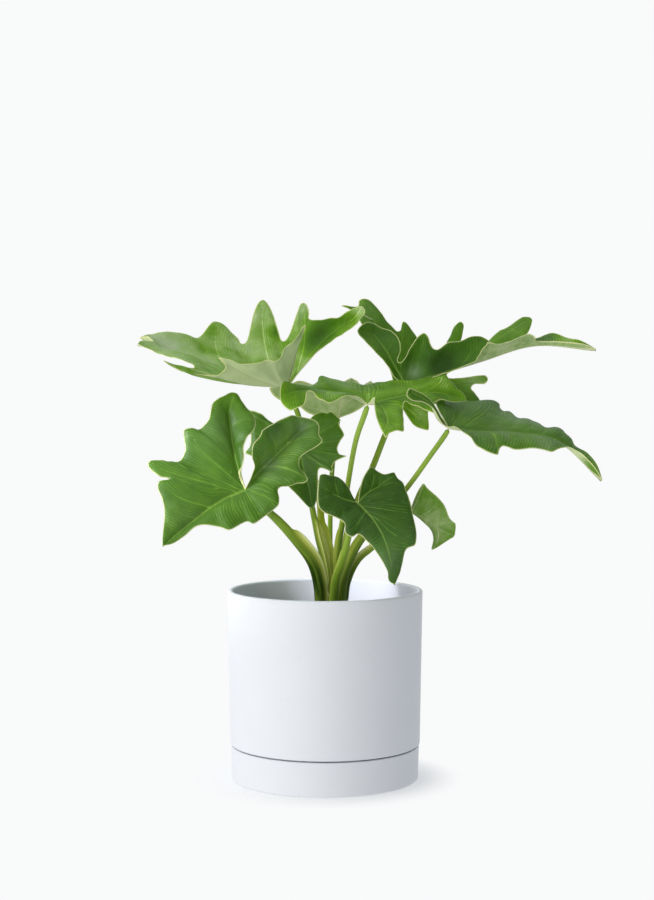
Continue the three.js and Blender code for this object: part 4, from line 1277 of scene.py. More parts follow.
# What most leaves have in common. A leaf's own table comes over this one.
usualLeaf = {
    "tone": 0.5,  # colour of the upper side, from 0 for deep to 1 for pale
    "spots": [],  # where it changes, partly its own tone and partly painted shade and painted sheen: X, Y, Z, radius and change
    "paintedSheens": [],  # where a greyish painted sheen lies on it: X, Y, Z, radius and share
    "clouds": 0.4,  # how far the upper side's colour wanders
    "shine": 0.3,  # gloss of the upper side
    "underTone": 0.53,  # colour of the lower side
    "underSpots": [],  # where it changes, partly its own tone and partly painted shade and painted sheen
    "underRim": 0.9,  # how pale the margin is on the lower side
    "brown": 0,  # how brown the foot of the ribs is there
    "veinSpacing": 14,  # along the margin, between the weaker side veins
    "sideShare": 0.4,  # how clear the side veins are
    "fine": 0.4,  # how clear the fine veins are
    "hindRibs": [None, None],  # for each half, the rib that runs back beyond the base
    "bulge": [0, 0],  # how far each half swells from its ribs
    "warmth": 0.2,  # how far the stalk turns from green to olive
    "shade": 0.5,  # how dark the painted shade at the stalk's foot is
    "fresh": 0.5,  # how far the stalk turns to a brighter green higher up
}

# base is where the stalk meets the blade, in the plant's frame: X, Y and Z. The other places on
# a blade are measured from it. foot is X, Y and radius on the crown, and a petiole row X, Y, Z
# and radius, both in the plant's frame.
# A margins row starts with its reach, which tells where the vein that feeds the point leaves its
# rib: 1 at the tip, 0 at the base, and below 0 along the hind rib, to -1 at that rib's end.
# tip and margins rows may end with a sharpness, from 0 for a round bend to 1 for a corner.
# sheath is where the stalk's sheath ends, as a share of its length, the height of its two edges
# and how pale they are.

# Hangs low at the front, its face to the front.
frontLeaf = {
    "name": "front_leaf",
    "tone": 0.1,
    "veinSpacing": 11,
    "sideShare": 1,
    "fine": 1.5,
    "shine": 0.34,
    "spots": [[26.7, -29.4, -32.4, 18, 0.24]],
    "paintedSheens": [[38, -16, -30, 10, 0.1], [24, -32, -38, 14, 0.14]],
    "base": [24.5, -40, 215],
    "tip": [26, -46, -56, 0.1],
    "midrib": [[11, -12, -11], [20, -26, -27.5]],
    "hindRibs": [[[6, 2, 6.5], [16, 6, 12.5]], [[-9.5, -3, 3], [-18, -4, 7]]],
    "bulge": [2, 2],
    "margins": [
        [
            [0.88, 31.5, -33, -44.5], [0.75, 33, -28, -37], [0.55, 35.5, -24, -32],
            [0.2, 41.5, -22, -29.5, 0.3], [0.15, 43, -17, -23], [0.1, 42, -10, -15], [0, 39.5, -2, -2],
            [-0.5, 36, 4, 8.5], [-0.9, 34, 7, 14.5], [-1, 30, 9, 18], [-1, 27.5, 11, 22, 0.6],
            [-1, 21, 11, 20.5], [-0.9, 15.5, 13, 22.5], [-0.6, 10, 14, 26, 0.6], [-0.3, 5.5, 8, 21],
            [-0.1, 2.5, 3, 14],
        ],
        [
            [0.93, 22, -41, -53.5], [0.85, 21, -36, -47], [0.52, 11.5, -24, -32], [0.35, 5.5, -20, -26],
            [0.22, 0, -15, -22], [0.15, -4.5, -16, -24, 0.3], [0.12, -9.5, -15, -21],
            [0.06, -10, -12, -14.5], [0, -13.5, -10, -11.5], [-0.8, -27, -10, -5], [-1, -30, -8, 2],
            [-1, -28.5, -1, 20.5, 0.5], [-1, -24, 2, 21], [-0.8, -17, 6, 19.5], [-0.5, -11, 6, 16],
            [-0.25, -6.5, 3, 10.5], [0, -3.5, 1, 3.5],
        ],
    ],
    "foot": [4.6, -14, 3.2],
    "sheath": [0.62, 1.2, 0.3],
    "shade": 0.25,
    "petiole": [
        [6.5, -15.5, 139, 3.1], [8.5, -21, 155, 2.9], [13.5, -28, 171, 2.6], [16.5, -32, 184, 2.4],
        [19.5, -34.5, 198, 2.2], [22.5, -36, 208, 2],
    ],
}

# Largest low leaf, hangs at the left, its face to the front.
leftLeaf = {
    "name": "left_leaf",
    "tone": 0.47,
    "veinSpacing": 16,
    "sideShare": 0.5,
    "fine": 0.8,
    "clouds": 0.45,
    "shine": 0.55,
    "spots": [
        [-23, 12, 37, 16, -0.04], [29.4, 12.8, 33, 13, 0.22], [22, 4, 44.4, 10, -0.28],
        [-47, -19, -21, 18, 0.1], [-7, -9, -14, 14, 0.08],
    ],
    "paintedSheens": [
        [29, 13, 33, 12, 0.2], [18.4, 5.2, 18.3, 8, 0.35], [40.6, 19.1, 44, 9, 0.3],
        [-23, 15, 44, 14, 0.12], [-47, -19, -21, 14, 0.1],
    ],
    "base": [-59.5, -44, 225],
    "tip": [-58.5, -32, -38.5, 0.6],
    "midrib": [[-17, -6, -7], [-40, -16, -23.5]],
    "hindRibs": [
        [[9.5, 3, 12.5], [24.5, 11, 27], [40, 19, 42.5]],
        [[-7, 9, 20.5], [-10.5, 19, 36.5], [-13.5, 30, 57.5]],
    ],
    "bulge": [2, 2],
    "margins": [
        [
            [0.93, -52, -30, -37.5], [0.85, -45, -26, -33.5], [0.62, -33, -18, -25],
            [0.35, -18, -15, -26.5], [0.25, -11, -16, -28.5, 0.2], [0.1, 1.5, -8, -23],
            [0.05, 6.5, -9, -24.5, 0.2], [0, 13, -7, -20.5], [-0.02, 24.5, -5, -11.5, 0.3],
            [-0.02, 25.5, -3, -6.5], [-0.16, 25, -1, 1], [-0.2, 33, -2, 3], [-0.28, 39, -3, 5],
            [-0.34, 44.5, -2, 5.5], [-0.38, 46.5, -1, 8, 0.3], [-0.42, 44.5, 0, 12],
            [-0.46, 40.5, 3, 17], [-0.5, 40.5, 4, 23], [-0.56, 44, 5, 26.5], [-0.8, 57, 6, 35.5],
            [-0.9, 55, 10, 41], [-1, 55, 15, 47], [-1, 52.5, 18, 51], [-1, 48, 19, 52.5, 0.3],
            [-1, 40.5, 18, 54], [-0.9, 33.5, 13, 55], [-0.58, 13, -2, 44.5, 0.3], [-0.5, 11.5, -3, 40.5],
            [-0.4, 6.5, -6, 34.5], [-0.3, 5.5, -7, 27], [-0.17, 7, -5, 16.5],
        ],
        [
            [0.95, -59, -29, -35.5], [0.65, -58.5, -18, -15], [0.52, -60.5, -14, -5.5],
            [0.42, -64, -11, 2], [0.38, -63, -9, 7], [0.3, -55, -6.5, 8.5, 0.7], [0.08, -63.5, -6, 10.5],
            [0.08, -72, -2, 18, 0.2], [0.08, -70.5, 0, 21.5], [0.08, -61, 3, 22], [0.07, -57.5, 2, 21],
            [0.02, -49, 6, 21.5], [0, -45, 10, 30], [0, -46.5, 13, 39], [-0.25, -46.5, 15, 44, 0.3],
            [-0.3, -41, 16, 45.5], [-0.35, -35.5, 17, 44.5], [-0.52, -28.5, 20, 51.5],
            [-0.8, -26, 28, 63.5], [-0.95, -22.5, 31, 67], [-1, -17.5, 35, 69.5], [-1, -12.5, 38, 72],
            [-1, -7.5, 38, 71], [-0.98, -3, 34, 64], [-0.88, 5.5, 26, 54.5], [-0.78, 7, 22, 48.5],
            [-0.68, 5.5, 17, 43.5], [-0.6, 1, 14, 38], [-0.48, -1.5, 10, 31.5], [-0.32, -1, 6, 23],
            [-0.18, -3, 4, 17], [-0.14, -5, 3, 12],
        ],
    ],
    "foot": [-3.8, -7, 3.8],
    "sheath": [0.62, 4.2, 1],
    "warmth": 0.35,
    "shade": 1,
    "petiole": [
        [-4, -8.5, 138, 3.8], [-5.5, -13, 154, 4], [-10.5, -20, 170, 4], [-22, -27, 186, 3.6],
        [-35.5, -33, 201.5, 3.2], [-48, -37.5, 213, 2.3],
    ],
}

# Behind the left leaf.
innerLeaf = {
    "name": "inner_leaf",
    "tone": 0.44,
    "veinSpacing": 13,
    "sideShare": 0.45,
    "fine": 0.6,
    "shine": 0.5,
    "spots": [[8, -16.7, -40.3, 14, -0.15]],
    "paintedSheens": [[23, -7, -3, 22, 0.04]],
    "base": [-19.5, 4, 255.5],
    "tip": [10, -20, -46.5],
    "midrib": [[2.5, -6, -16.5], [7, -12, -31.5]],
    "margins": [
        [
            [0.95, 12, -18, -43.5], [0.8, 13.5, -15, -37], [0.35, 14.5, -10, -18], [0.2, 17, -11, -16],
            [0.05, 25, -16, -19.5, 0.6], [0.04, 25.5, -15, -17.5], [0.03, 24.5, -13, -15.5],
            [0.02, 27.5, -12, -11], [0.02, 35.5, -12, -7.5, 0.7], [0.01, 30.5, -9, -6],
            [0, 29, -6, -1.5], [0, 31, -4, 4], [0, 34, -4, 9, 0.3], [0, 30, 1, 17.5],
            [0, 31.5, 1, 20, 0.5], [0, 24, 6, 26.5, 0.3], [0, 21.5, 6, 25.5], [0, 15.5, 6, 26],
            [0, 7.5, 5, 20.5],
        ],
        [
            [0.95, 7, -19, -45.5], [0.7, -1.5, -13, -37], [0.5, -8.5, -10, -30.5, 0.3],
            [0.4, -13, -8, -25.5], [0.28, -17, -4, -18.5], [0.12, -32.5, 4, -9.5],
            [0.06, -42.5, 8, -5.5, 0.5], [0.02, -39, 8, -0.5], [0, -38, 10, 7.5],
            [0, -40.5, 16, 26.5, 0.4], [0, -33.5, 14, 26], [0, -21, 10, 17.5], [0, -5.5, 2, 6],
        ],
    ],
    "foot": [3.2, -5, 2.6],
    "sheath": [0.58, 2.2, 0.8],
    "warmth": 0.25,
    "shade": 0.6,
    "petiole": [
        [2, -4.5, 137.5, 2.6], [1.5, -3, 153, 2.6], [-1, -1, 168, 2.5], [-5, 1.5, 183.5, 2.4],
        [-8, 3.5, 198.5, 2.3], [-13, 5.5, 223, 2.1], [-17, 6.5, 238.5, 2],
    ],
}

# Level leaf over the middle, bright green, a lobe hanging at each side of its stalk.
middleLeaf = {
    "name": "middle_leaf",
    "tone": 0.66,
    "underTone": 0.6,
    "veinSpacing": 24,
    "fine": 0.7,
    "brown": 0.1,
    "underRim": 0.8,
    "clouds": 0.9,
    "shine": 0.12,
    "spots": [[17.4, -33.5, -11, 14, 0.06], [24.2, -10.4, -0.3, 5, 0.2], [57, 24, 15, 10, 0.2]],
    "paintedSheens": [[-17, 25.5, 14.5, 7, 0.25]],
    "base": [32.5, -8, 288],
    "tip": [77, 22, 3.5, 0.6],
    "midrib": [[25, 10, 6.5], [52, 18, 9.5]],
    "hindRibs": [
        [[-13.5, 10, 7.5], [-33, 12, 11], [-52, 5, 11], [-59.5, 0, 9]],
        [[7.5, -9, 1.5], [13, -24, -5.5], [14.5, -38, -14]],
    ],
    "bulge": [1, 1],
    "margins": [
        [
            [0.95, 74.5, 25, 8], [0.75, 64.5, 33, 18], [0.65, 62, 36, 22, 0.5], [0.4, 41.5, 41, 17.5],
            [0.25, 26, 43, 17.5], [0, -1.5, 42, 14.5], [-0.15, -15, 42, 15.5], [-0.5, -37, 44, 21, 0.6],
            [-0.55, -38.5, 38, 16.5], [-0.68, -45.5, 28, 13], [-0.85, -54.5, 18, 14.5],
            [-1, -64.5, 11, 17, 0.2], [-1, -66.5, -6, 4], [-1, -60, -17, -3.5], [-0.95, -53, -20, -2.5],
            [-0.85, -48, -18, 0.5], [-0.8, -47, -12, 6.5], [-0.68, -44, -4, 10], [-0.6, -39.5, -12, 6.5],
            [-0.44, -29, -22, 1.5], [-0.26, -19, -14, 6], [-0.12, -7.5, -6, 6],
        ],
        [
            [0.95, 76, 19, 2], [0.75, 63, 8, 2], [0.62, 55, 2, 3.5], [0.5, 50, -6, 0],
            [0.4, 49.5, -14, -6, 0.6], [0.29, 37.5, -10, -1.5], [0.23, 32.5, -9, 0], [0.06, 28.5, -7, 2],
            [0, 26.5, -12, -1.5], [-0.9, 26, -35, -15], [-1, 25.5, -42, -19, 0.3],
            [-1, 20.5, -45, -18.5], [-1, 15, -48, -20.5], [-1, 12, -51, -23.5, 0.5], [-0.6, 6, -35, -10],
            [-0.3, 4.5, -19, -0.5], [-0.12, 5, -7, 5.5],
        ],
    ],
    "foot": [9, 0, 2.5],
    "sheath": [0.42, 1.6, 0.6],
    "warmth": 0.5,
    "fresh": 1.2,
    "petiole": [
        [10, -0.5, 137, 2.5], [10, -1, 152.5, 2.5], [10, -2, 168, 2.4], [11, -3, 183.5, 2.3],
        [13.5, -4, 199, 2.2], [17.5, -5, 227.5, 2], [23.5, -6, 260.5, 2], [30.5, -7, 281.5, 2.2],
    ],
}

# Long level leaf to the right, its tip hanging.
rightLeaf = {
    "name": "right_leaf",
    "tone": 0.38,
    "underTone": 0.92,
    "sideShare": 0.5,
    "fine": 1.2,
    "brown": 0.1,
    "underRim": 0.8,
    "clouds": 0.5,
    "shine": 0.4,
    "spots": [[61, -6.8, -8.7, 25, 0.12], [112, -4, -34, 14, 0.6]],
    "paintedSheens": [[39, 5, -2, 7, 0.2], [72, -8, -12, 9, 0.3], [100, -2, -24, 10, 0.2]],
    "underSpots": [[112, -5, -34, 14, -1.1]],
    "base": [94, -15, 270],
    "tip": [116, -5, -39, 0.6],
    "midrib": [[22, 1, -1.5], [54.5, 5, -3], [85, 7, -9.5]],
    "hindRibs": [None, [[-7, -4, 6], [-14.5, -13, 19], [-28.5, -19, 27]]],
    "bulge": [2, 2],
    "margins": [
        [
            [0.92, 113, 2, -28], [0.86, 107.5, 7, -20.5], [0.76, 97, 15, -13], [0.72, 95, 20, -8.5],
            [0.62, 88, 27, -1.5, 0.2], [0.55, 76.5, 29, -0.5], [0.42, 66, 39, 5], [0.36, 57.5, 41, 5.5],
            [0.25, 51, 49, 11, 0.2], [0.2, 46.5, 48, 11.5], [0.16, 43.5, 49, 14.5], [0.12, 43, 52, 17.5],
            [0.08, 38.5, 55, 20.5, 0.2], [0.03, 29, 55, 19.5], [0, 18.5, 51, 19.5], [0, 7.5, 41, 19.5],
            [0, -7, 19, 20.5, 0.5], [0, -9, 9, 17.5], [0, -5, 1.5, 8.5],
        ],
        [
            [0.9, 108, -4, -26.5], [0.75, 91.5, -3, -14.5], [0.6, 77, -10, -17.5, 0.5],
            [0.52, 69.5, -11, -15.5], [0.44, 60, -14, -14.5], [0.36, 48, -19, -15.5],
            [0.28, 39.5, -21, -12.5], [0.25, 36.5, -24, -14], [0.22, 34, -29, -19, 0.5],
            [0.12, 20.5, -26, -13], [0.06, 14.5, -21, -6.5], [0, 4, -9, 1.5], [0, -0.5, -4, 1.5],
            [-0.1, -5, -6, 3.5], [-0.5, -12.5, -14, 15], [-0.75, -20.5, -18, 20], [-1, -29, -22, 21.5],
            [-1, -33, -23, 25.5], [-1, -30.5, -20, 30.5, 0.3], [-0.6, -15, -12, 22],
            [-0.08, -4, -2, 5.5],
        ],
    ],
    "foot": [12.6, -7, 3.5],
    "sheath": [0.5, 2.4, 0.1],
    "warmth": 0.45,
    "shade": 0.4,
    "fresh": 0.6,
    "petiole": [
        [12.5, -7, 138, 3.4], [14, -7.5, 153.5, 3.4], [19, -8.5, 169, 3.2], [26.5, -9.5, 183.5, 3],
        [42, -11, 201.5, 2.3], [61.5, -12.5, 223.5, 2], [82, -14, 252, 2], [90.5, -14.5, 264, 2.1],
    ],
}

# Highest leaf, to the left, its near half folded up.
topLeftLeaf = {
    "name": "top_left_leaf",
    "tone": 0.92,
    "underTone": 1.0,
    "veinSpacing": 50,
    "sideShare": 0.45,
    "fine": 0.28,
    "brown": 0.9,
    "underRim": 1,
    "clouds": 0.85,
    "shine": 0.15,
    "spots": [
        [-98, -2, 32.5, 22, 0.3], [-21, 49, 49, 18, 0.08], [21.5, 27.7, 37, 12, -0.4],
        [31, 28, 46, 20, -0.55], [10, 54, 62, 9, 0.2], [58, 33, 61, 9, 0.3],
        [-9, 44.4, 43.6, 6, -0.5], [-64.6, 14.8, 28.8, 9, -0.25],
        [-38, 32.3, 33, 8, 0.25], [-76.1, 11.3, 32.7, 8, 0.12], [37.3, 26.1, 46.3, 7, 0.15],
        [49.2, 31.4, 56.7, 12, -0.1],
    ],
    "paintedSheens": [[10, 53, 62, 12, 0.35], [-92, -6, 34, 14, 0.2], [-21, 57, 62, 14, 0.12]],
    "underSpots": [[-55, -38, 10, 12, -0.35], [-20, -30, 14, 10, -0.25], [10.4, -22.4, 39.8, 9, -0.6]],
    "base": [-29.5, 16, 301],
    "tip": [-113.5, -20, 33, 0.6],
    "midrib": [[-19, -6, 4.5], [-43.5, -12, 11], [-74, -14, 26]],
    "hindRibs": [[[2.5, -8, 14.5], [8, -16, 32.5]], [[12.5, 10, 19.5], [27, 18, 36.5], [45, 26, 51]]],
    "bulge": [-4, -6],
    "margins": [
        [
            [0.86, -97.5, -28, 26], [0.7, -77.5, -38, 20.5], [0.4, -69, -39, 15.5],
            [0.05, -76.5, -45, 15.5], [0.05, -91, -56, 20, 0.7], [0.05, -84.5, -53, 15.5],
            [0.05, -78.5, -48, 12.5], [0.05, -72, -45, 11], [0.05, -53, -35, 9], [0.05, -48, -37, 12],
            [0.05, -45.5, -39, 16], [0.05, -50, -47, 22, 0.6], [0.04, -42.5, -46, 21],
            [0.03, -34.5, -44, 18], [0.02, -23, -41, 18], [0.01, -14.5, -36, 20.5], [0, -8.5, -32, 20],
            [-0.2, -3.5, -30, 23.5], [-0.4, -1.5, -30, 29], [-0.7, 3, -28, 33], [-1, 9, -26, 39.5],
            [-1, 14.5, -24, 47.5, 0.5], [-1, 13.5, -20, 42], [-0.85, 9.5, -16, 34],
            [-0.15, 4.5, -4, 12.5],
        ],
        [
            [0.97, -111.5, -17, 35.5], [0.92, -102.5, -10, 35.5], [0.7, -105.5, -8, 38.5],
            [0.56, -109.5, -6, 39], [0.55, -114, -6, 38, 0.7], [0.55, -106.5, 2, 41],
            [0.53, -90.5, 15, 43], [0.52, -81.5, 20, 41.5], [0.5, -72, 24, 38.5], [0.46, -68, 28, 41],
            [0.36, -60, 42, 51.5, 0.1], [0.3, -53, 44, 50.5], [0.25, -45.5, 42, 43.5],
            [0.21, -40, 38, 38.5], [0.19, -36.5, 34, 34], [0.16, -32.5, 37, 37], [0.1, -27.5, 56, 60.5],
            [0.07, -21.5, 64, 69.5, 0.2], [0.05, -15, 60, 63.5], [0.02, -7.5, 44, 43], [0, -4, 38, 36],
            [-0.06, 0.5, 40, 40.5], [-0.18, 8, 52, 62], [-0.22, 11.5, 56, 67.5, 0.2],
            [-0.28, 16, 50, 62.5], [-0.36, 17, 42, 54], [-0.55, 25.5, 34, 53], [-0.75, 34, 30, 54.5],
            [-0.88, 39.5, 30, 54.5], [-1, 47, 32, 59.5], [-1, 58, 34, 63.5], [-1, 61, 31, 60, 0.3],
            [-1, 58, 26, 54], [-0.95, 52, 20, 47], [-0.6, 33.5, 12, 35], [-0.32, 19.5, 6, 23.5],
        ],
    ],
    "foot": [3, 2.5, 2.6],
    "sheath": [0.4, 2, 0.6],
    "warmth": 0.8,
    "fresh": 0.3,
    "petiole": [
        [4.5, 3, 136.5, 2.6], [5.5, 4.5, 152, 2.7], [4, 6, 167.5, 2.7], [0.5, 8, 182.5, 2.7],
        [-3, 10.5, 198, 2.7], [-4, 12.5, 211, 2.4], [-8.5, 16, 232.5, 2.1], [-15.5, 19, 260, 2],
        [-21.5, 19.5, 281, 2], [-26.5, 18, 293, 2.1],
    ],
}

# High leaf to the right, its edges rolled.
topRightLeaf = {
    "name": "top_right_leaf",
    "tone": 0.36,
    "veinSpacing": 30,
    "fine": 0.7,
    "brown": 0.4,
    "clouds": 0.5,
    "shine": 0.22,
    "spots": [
        [-21, 13, 30.6, 12, 0.16], [27.7, 2, 14.7, 10, -0.5], [39.8, 5.5, 22.6, 14, -0.12],
        [128, -11.6, 32.6, 14, 0.5],
    ],
    "paintedSheens": [[8, 3, 9, 6, 0.45], [-15, 16, 35, 10, 0.08], [110, -12, 34, 14, 0.2]],
    "base": [63, 40, 303.5],
    "tip": [147.5, -20, 27, 0.6],
    "midrib": [[19.5, -3, 6], [58.5, -7, 18.5], [101.5, -10, 31]],
    "hindRibs": [[[-6, 4, 10.5], [-14.5, 12, 26.5], [-24, 17, 39.5]], None],
    "bulge": [-3, 0],
    "margins": [
        [
            [0.92, 136, -13, 34], [0.88, 128.5, -9, 35.5], [0.78, 116, 0, 40], [0.74, 110.5, 1, 38.5],
            [0.68, 104.5, -2, 36], [0.5, 79, 0, 31], [0.42, 69, 3, 32], [0.38, 65, 6, 35],
            [0.34, 60, 10, 37.5, 0.2], [0.28, 52, 11, 37], [0.22, 44, 10, 33.5], [0.17, 34.5, 9, 32.5],
            [0.1, 24, 6, 27], [0.05, 18.5, 10, 37.5], [0.03, 15.5, 12, 40, 0.2], [0.01, 10.5, 11, 37],
            [0, 5, 8, 29.5], [-0.1, -2.5, 2, 17], [-0.22, -6, 4, 18], [-0.42, -3, 10, 27.5],
            [-0.6, -4.5, 14, 35.5], [-0.8, -10.5, 18, 42], [-1, -17.5, 21, 44], [-1, -24, 23, 48],
            [-1, -29.5, 22, 49], [-1, -34.5, 20, 46, 0.5], [-1, -37, 17, 41.5], [-0.85, -30.5, 11, 32.5],
            [-0.3, -13.5, 2, 14], [-0.08, -8, 0, 4.5],
        ],
        [
            [0.93, 137.5, -19, 31], [0.81, 116, -17, 33], [0.75, 107, -16, 33], [0.7, 100.5, -22, 33.5],
            [0.66, 99.5, -26, 36, 0.5], [0.6, 93, -28, 38], [0.5, 78, -31, 31.5], [0.46, 72, -30, 30.5],
            [0.42, 64, -30, 32], [0.4, 62.5, -29, 32.5, 0.4], [0.35, 56.5, -19, 21.5],
            [0.32, 54.5, -15, 17], [0.13, 31, -9, 8], [0.01, 4, -2, -1],
        ],
    ],
    "foot": [11, 8.5, 2.5],
    "sheath": [0.4, 1.4, 0.6],
    "warmth": 0.3,
    "fresh": 0.1,
    "petiole": [
        [13.5, 9, 136, 2.4], [14.5, 11.5, 155, 2.3], [16, 14.5, 174.5, 2.2], [19.5, 18, 193.5, 2.1],
        [26.5, 23, 216.5, 2], [36.5, 27, 237.5, 2], [46.5, 32, 262.5, 1.9], [58.5, 37.5, 290.5, 2],
    ],
}

# Small leaf low at the right, its underside to the front.
smallLeaf = {
    "name": "small_leaf",
    "tone": 0.4,
    "underTone": 0.14,
    "sideShare": 0.6,
    "fine": 0.5,
    "underRim": 0.15,
    "underSpots": [
        [12, -9, -3, 5, 0.3], [20, -14, -4, 5, 0.3], [27, -18, -7, 4, 0.2], [14, -12, -11, 5, 0.2],
        [19, -18, -16, 5, 0.2],
    ],
    "base": [66, -6, 205],
    "tip": [31.5, -24, -16],
    "midrib": [[10.5, -8, -4.5], [21, -16, -11.5]],
    "margins": [
        [
            [0.85, 26, -25, -19], [0.62, 14.5, -24, -26, 0.6], [0.56, 15.5, -21, -19],
            [0.38, 14.5, -17, -12.5], [0.15, 9.5, -11, -7],
        ],
        [
            [0.75, 32.5, -20, -7, 0.5], [0.6, 28.5, -18, -3], [0.3, 23.5, -14, 8], [0.04, 12, -6.5, 19.5],
            [0, 8.5, -4.3, 22.2], [0, 0.5, -1, 5.5],
        ],
    ],
    "foot": [13.5, 2.5, 2.2],
    "sheath": [0.75, 3.4, 1],
    "warmth": 0.1,
    "shade": 0.4,
    "petiole": [
        [15.5, 2, 137, 2.2], [18, 1.5, 152.5, 2.3], [25.5, 0, 168, 2.3], [37, -2, 178, 1.8],
        [56, -5, 197, 1.5],
    ],
}

# Behind the middle leaf, leaning back, its underside to the front.
backLeaf = {
    "name": "back_leaf",
    "veinSpacing": 20,
    "brown": 0.2,
    "underRim": 0.7,
    "clouds": 0.6,
    "shine": 0.1,
    "base": [10.5, 72, 275.5],
    "tip": [10, -24, 32.5],
    "midrib": [[2.5, -11, 14.5], [6.5, -18, 24.5]],
    "margins": [
        [
            [0.95, 15, -22, 30], [0.8, 18, -20, 27], [0.6, 22, -20.5, 27.5], [0.42, 26, -22, 30, 0.4],
            [0.3, 32, -13, 18], [0.05, 22.5, -8.5, 11.5], [0, 13.5, -3.5, 5],
        ],
        [
            [0.85, -1.5, -20, 27], [0.7, -13, -18, 24.5], [0.48, -21, -20.5, 27.5],
            [0.44, -32, -22, 30, 0.3], [0.36, -38.5, -20.5, 27.5], [0.22, -54.5, -18, 24.5, 0.4],
            [0.12, -49.5, -12, 16.5], [0.02, -34, -8.5, 11.5], [0, -23.5, -3, 4], [0, -9, 0, 0],
        ],
    ],
    "foot": [5.5, 8, 2],
    "sheath": [0.35, 0.9, 0.7],
    "warmth": 0.1,
    "petiole": [
        [5, 9, 143.5, 2], [4, 15, 169, 1.9], [4, 27, 196.5, 1.8], [5, 42, 227, 1.8], [8, 61, 258, 1.8],
    ],
}

# Behind the top right leaf, upright.
farLeaf = {
    "name": "far_leaf",
    "tone": 0.54,
    "veinSpacing": 24,
    "brown": 0.2,
    "underRim": 0.7,
    "clouds": 0.8,
    "shine": 0.2,
    "spots": [
        [17.4, -3.1, -11, 16, 0.45], [96, 29.2, 61.2, 20, 0.16], [62, 15, 17, 13, 0.35],
        [-23, 34.3, 73.5, 15, 0.05],
    ],
    "paintedSheens": [[96, 29, 61, 18, 0.15], [62, 15, 17, 14, 0.3], [-23, 34, 73, 15, 0.15]],
    "base": [58, 52, 289.5],
    "tip": [108.5, 32, 67.5, 0.5],
    "midrib": [[22, 8, 14.5], [49, 16, 31], [79, 23, 49]],
    "hindRibs": [[[-0.5, 10, 16.5], [-7.5, 22, 41], [-18.5, 32, 65.5]], [[8, -2, -6.5], [16.5, -4, -13.5]]],
    "margins": [
        [
            [0.96, 102, 32, 67.5], [0.86, 88.5, 30, 58.5], [0.8, 83, 30, 56], [0.7, 74, 28, 48],
            [0.62, 66, 28, 42.5], [0.55, 58, 28, 41], [0.48, 52.5, 31, 45], [0.43, 52.5, 34, 53],
            [0.4, 54.5, 36, 61.5], [0.38, 52, 37, 64, 0.2], [0.35, 47, 36, 59.5], [0.24, 36.5, 28, 37],
            [0.16, 28.5, 27, 33], [0.08, 19.5, 29, 41], [0.04, 16, 32, 51.5], [0.02, 11, 34, 59.5],
            [0, 5.5, 36, 64, 0.3], [-0.1, 3.5, 34, 57], [-0.25, -0.5, 34, 56.5], [-1, -20.5, 38, 80.5],
            [-1, -26.5, 38, 82.5], [-1, -30.5, 36, 81, 0.3], [-1, -31.5, 35, 76.5],
            [-1, -44.5, 34, 77, 0.6], [-1, -36, 33, 72.5], [-1, -30.5, 32, 65.5], [-0.85, -25, 28, 55.5],
            [-0.42, -8.5, 15, 31],
        ],
        [
            [0.97, 110, 31, 65], [0.9, 105.5, 28, 54], [0.82, 96.5, 25, 47.5], [0.42, 42, 13, 23],
            [0.35, 39.5, 12, 20.5], [0.27, 43, 12, 17.5], [0.16, 70, 17, 20.5, 0.1],
            [0.15, 73, 17, 17.5], [0.14, 70.5, 16, 14], [0.13, 63, 14, 13.5], [0.12, 59, 12, 10.5],
            [0.11, 62, 12, 6.5], [0.1, 66, 10, 0], [0.09, 64, 6, -9, 0.3], [0.08, 51.5, 4, -8],
            [0.04, 37.5, 2, -3], [-0.3, 27, 0, -3], [-0.7, 24, -1, -8.5], [-1, 24, -6, -22.5, 0.5],
            [-0.95, 17, -6, -21.5], [-0.75, 11.5, -5, -18], [-0.1, 3, -1, -5],
        ],
    ],
    "foot": [8.5, 13.5, 2.2],
    "sheath": [0.35, 0.9, 0.7],
    "fresh": 0.1,
    "petiole": [
        [13, 14.5, 135, 2.2], [14, 17, 153, 2.1], [16.5, 20.5, 172, 2], [19.5, 25, 191.5, 2],
        [26.5, 31, 214.5, 2], [37, 37.5, 235.5, 1.9], [47, 44, 260.5, 1.9], [55.5, 49.5, 281, 1.9],
    ],
}

leaves = [
    frontLeaf, leftLeaf, innerLeaf, middleLeaf, rightLeaf,
    topLeftLeaf, topRightLeaf, smallLeaf, backLeaf, farLeaf,
]

stalk = stalkMaterial(stalkFinish)
for number, ownTable in enumerate(leaves):
    leaf = {**usualLeaf, **ownTable}
    up = makeBlade(leaf, bladePlan, number)
    makeStalk(leaf, stalkPlan, up, stalk, number)
    print(leaf["name"], "made")


stagePlan = {
    "floorRadius": 5,  # metres, as the next three
    "floorDrop": 0.0002,
    "fadeFrom": 0.072,  # from the pot's axis to where the floor turns into backdrop
    "fadeTo": 0.108,
    "floorSides": 96,
    "floorColour": (0.96, 0.965, 0.975),
    "backdrop": (0.95, 0.955, 0.96),
    "glowNear": 0.25,  # how much of the backdrop's white the floor shows under the pot
    "glowSent": 0.85,  # and how much of it lights the plant from below
    "lightWest": (0.56, 0.58, 0.62),  # surroundings on the left and on the right
    "lightEast": (0.03, 0.08, 0.14),
    "eastFade": (-0.9, 0.7),
    "lightFront": (0.14, 0.15, 0.17),
    "frontFade": (0.2, 0.8),
    "lightTop": (1.00, 1.01, 1.02),
    "topFade": (0.4, 1),
    "lightBehind": (1.09, 1.13, 1.19),
    "behindFade": (0.0, 0.7),
    "behindEast": (0.2, 0.8),  # where the light from behind falls to half, on the right
}

keyPlan = {
    "at": (-1.50, -1.40, 0.62),
    "aim": (0, 0, 0.20),
    "width": 3.0,
    "height": 1.1,
    "watts": 34,
    "colour": (1, 0.98, 0.96),
}

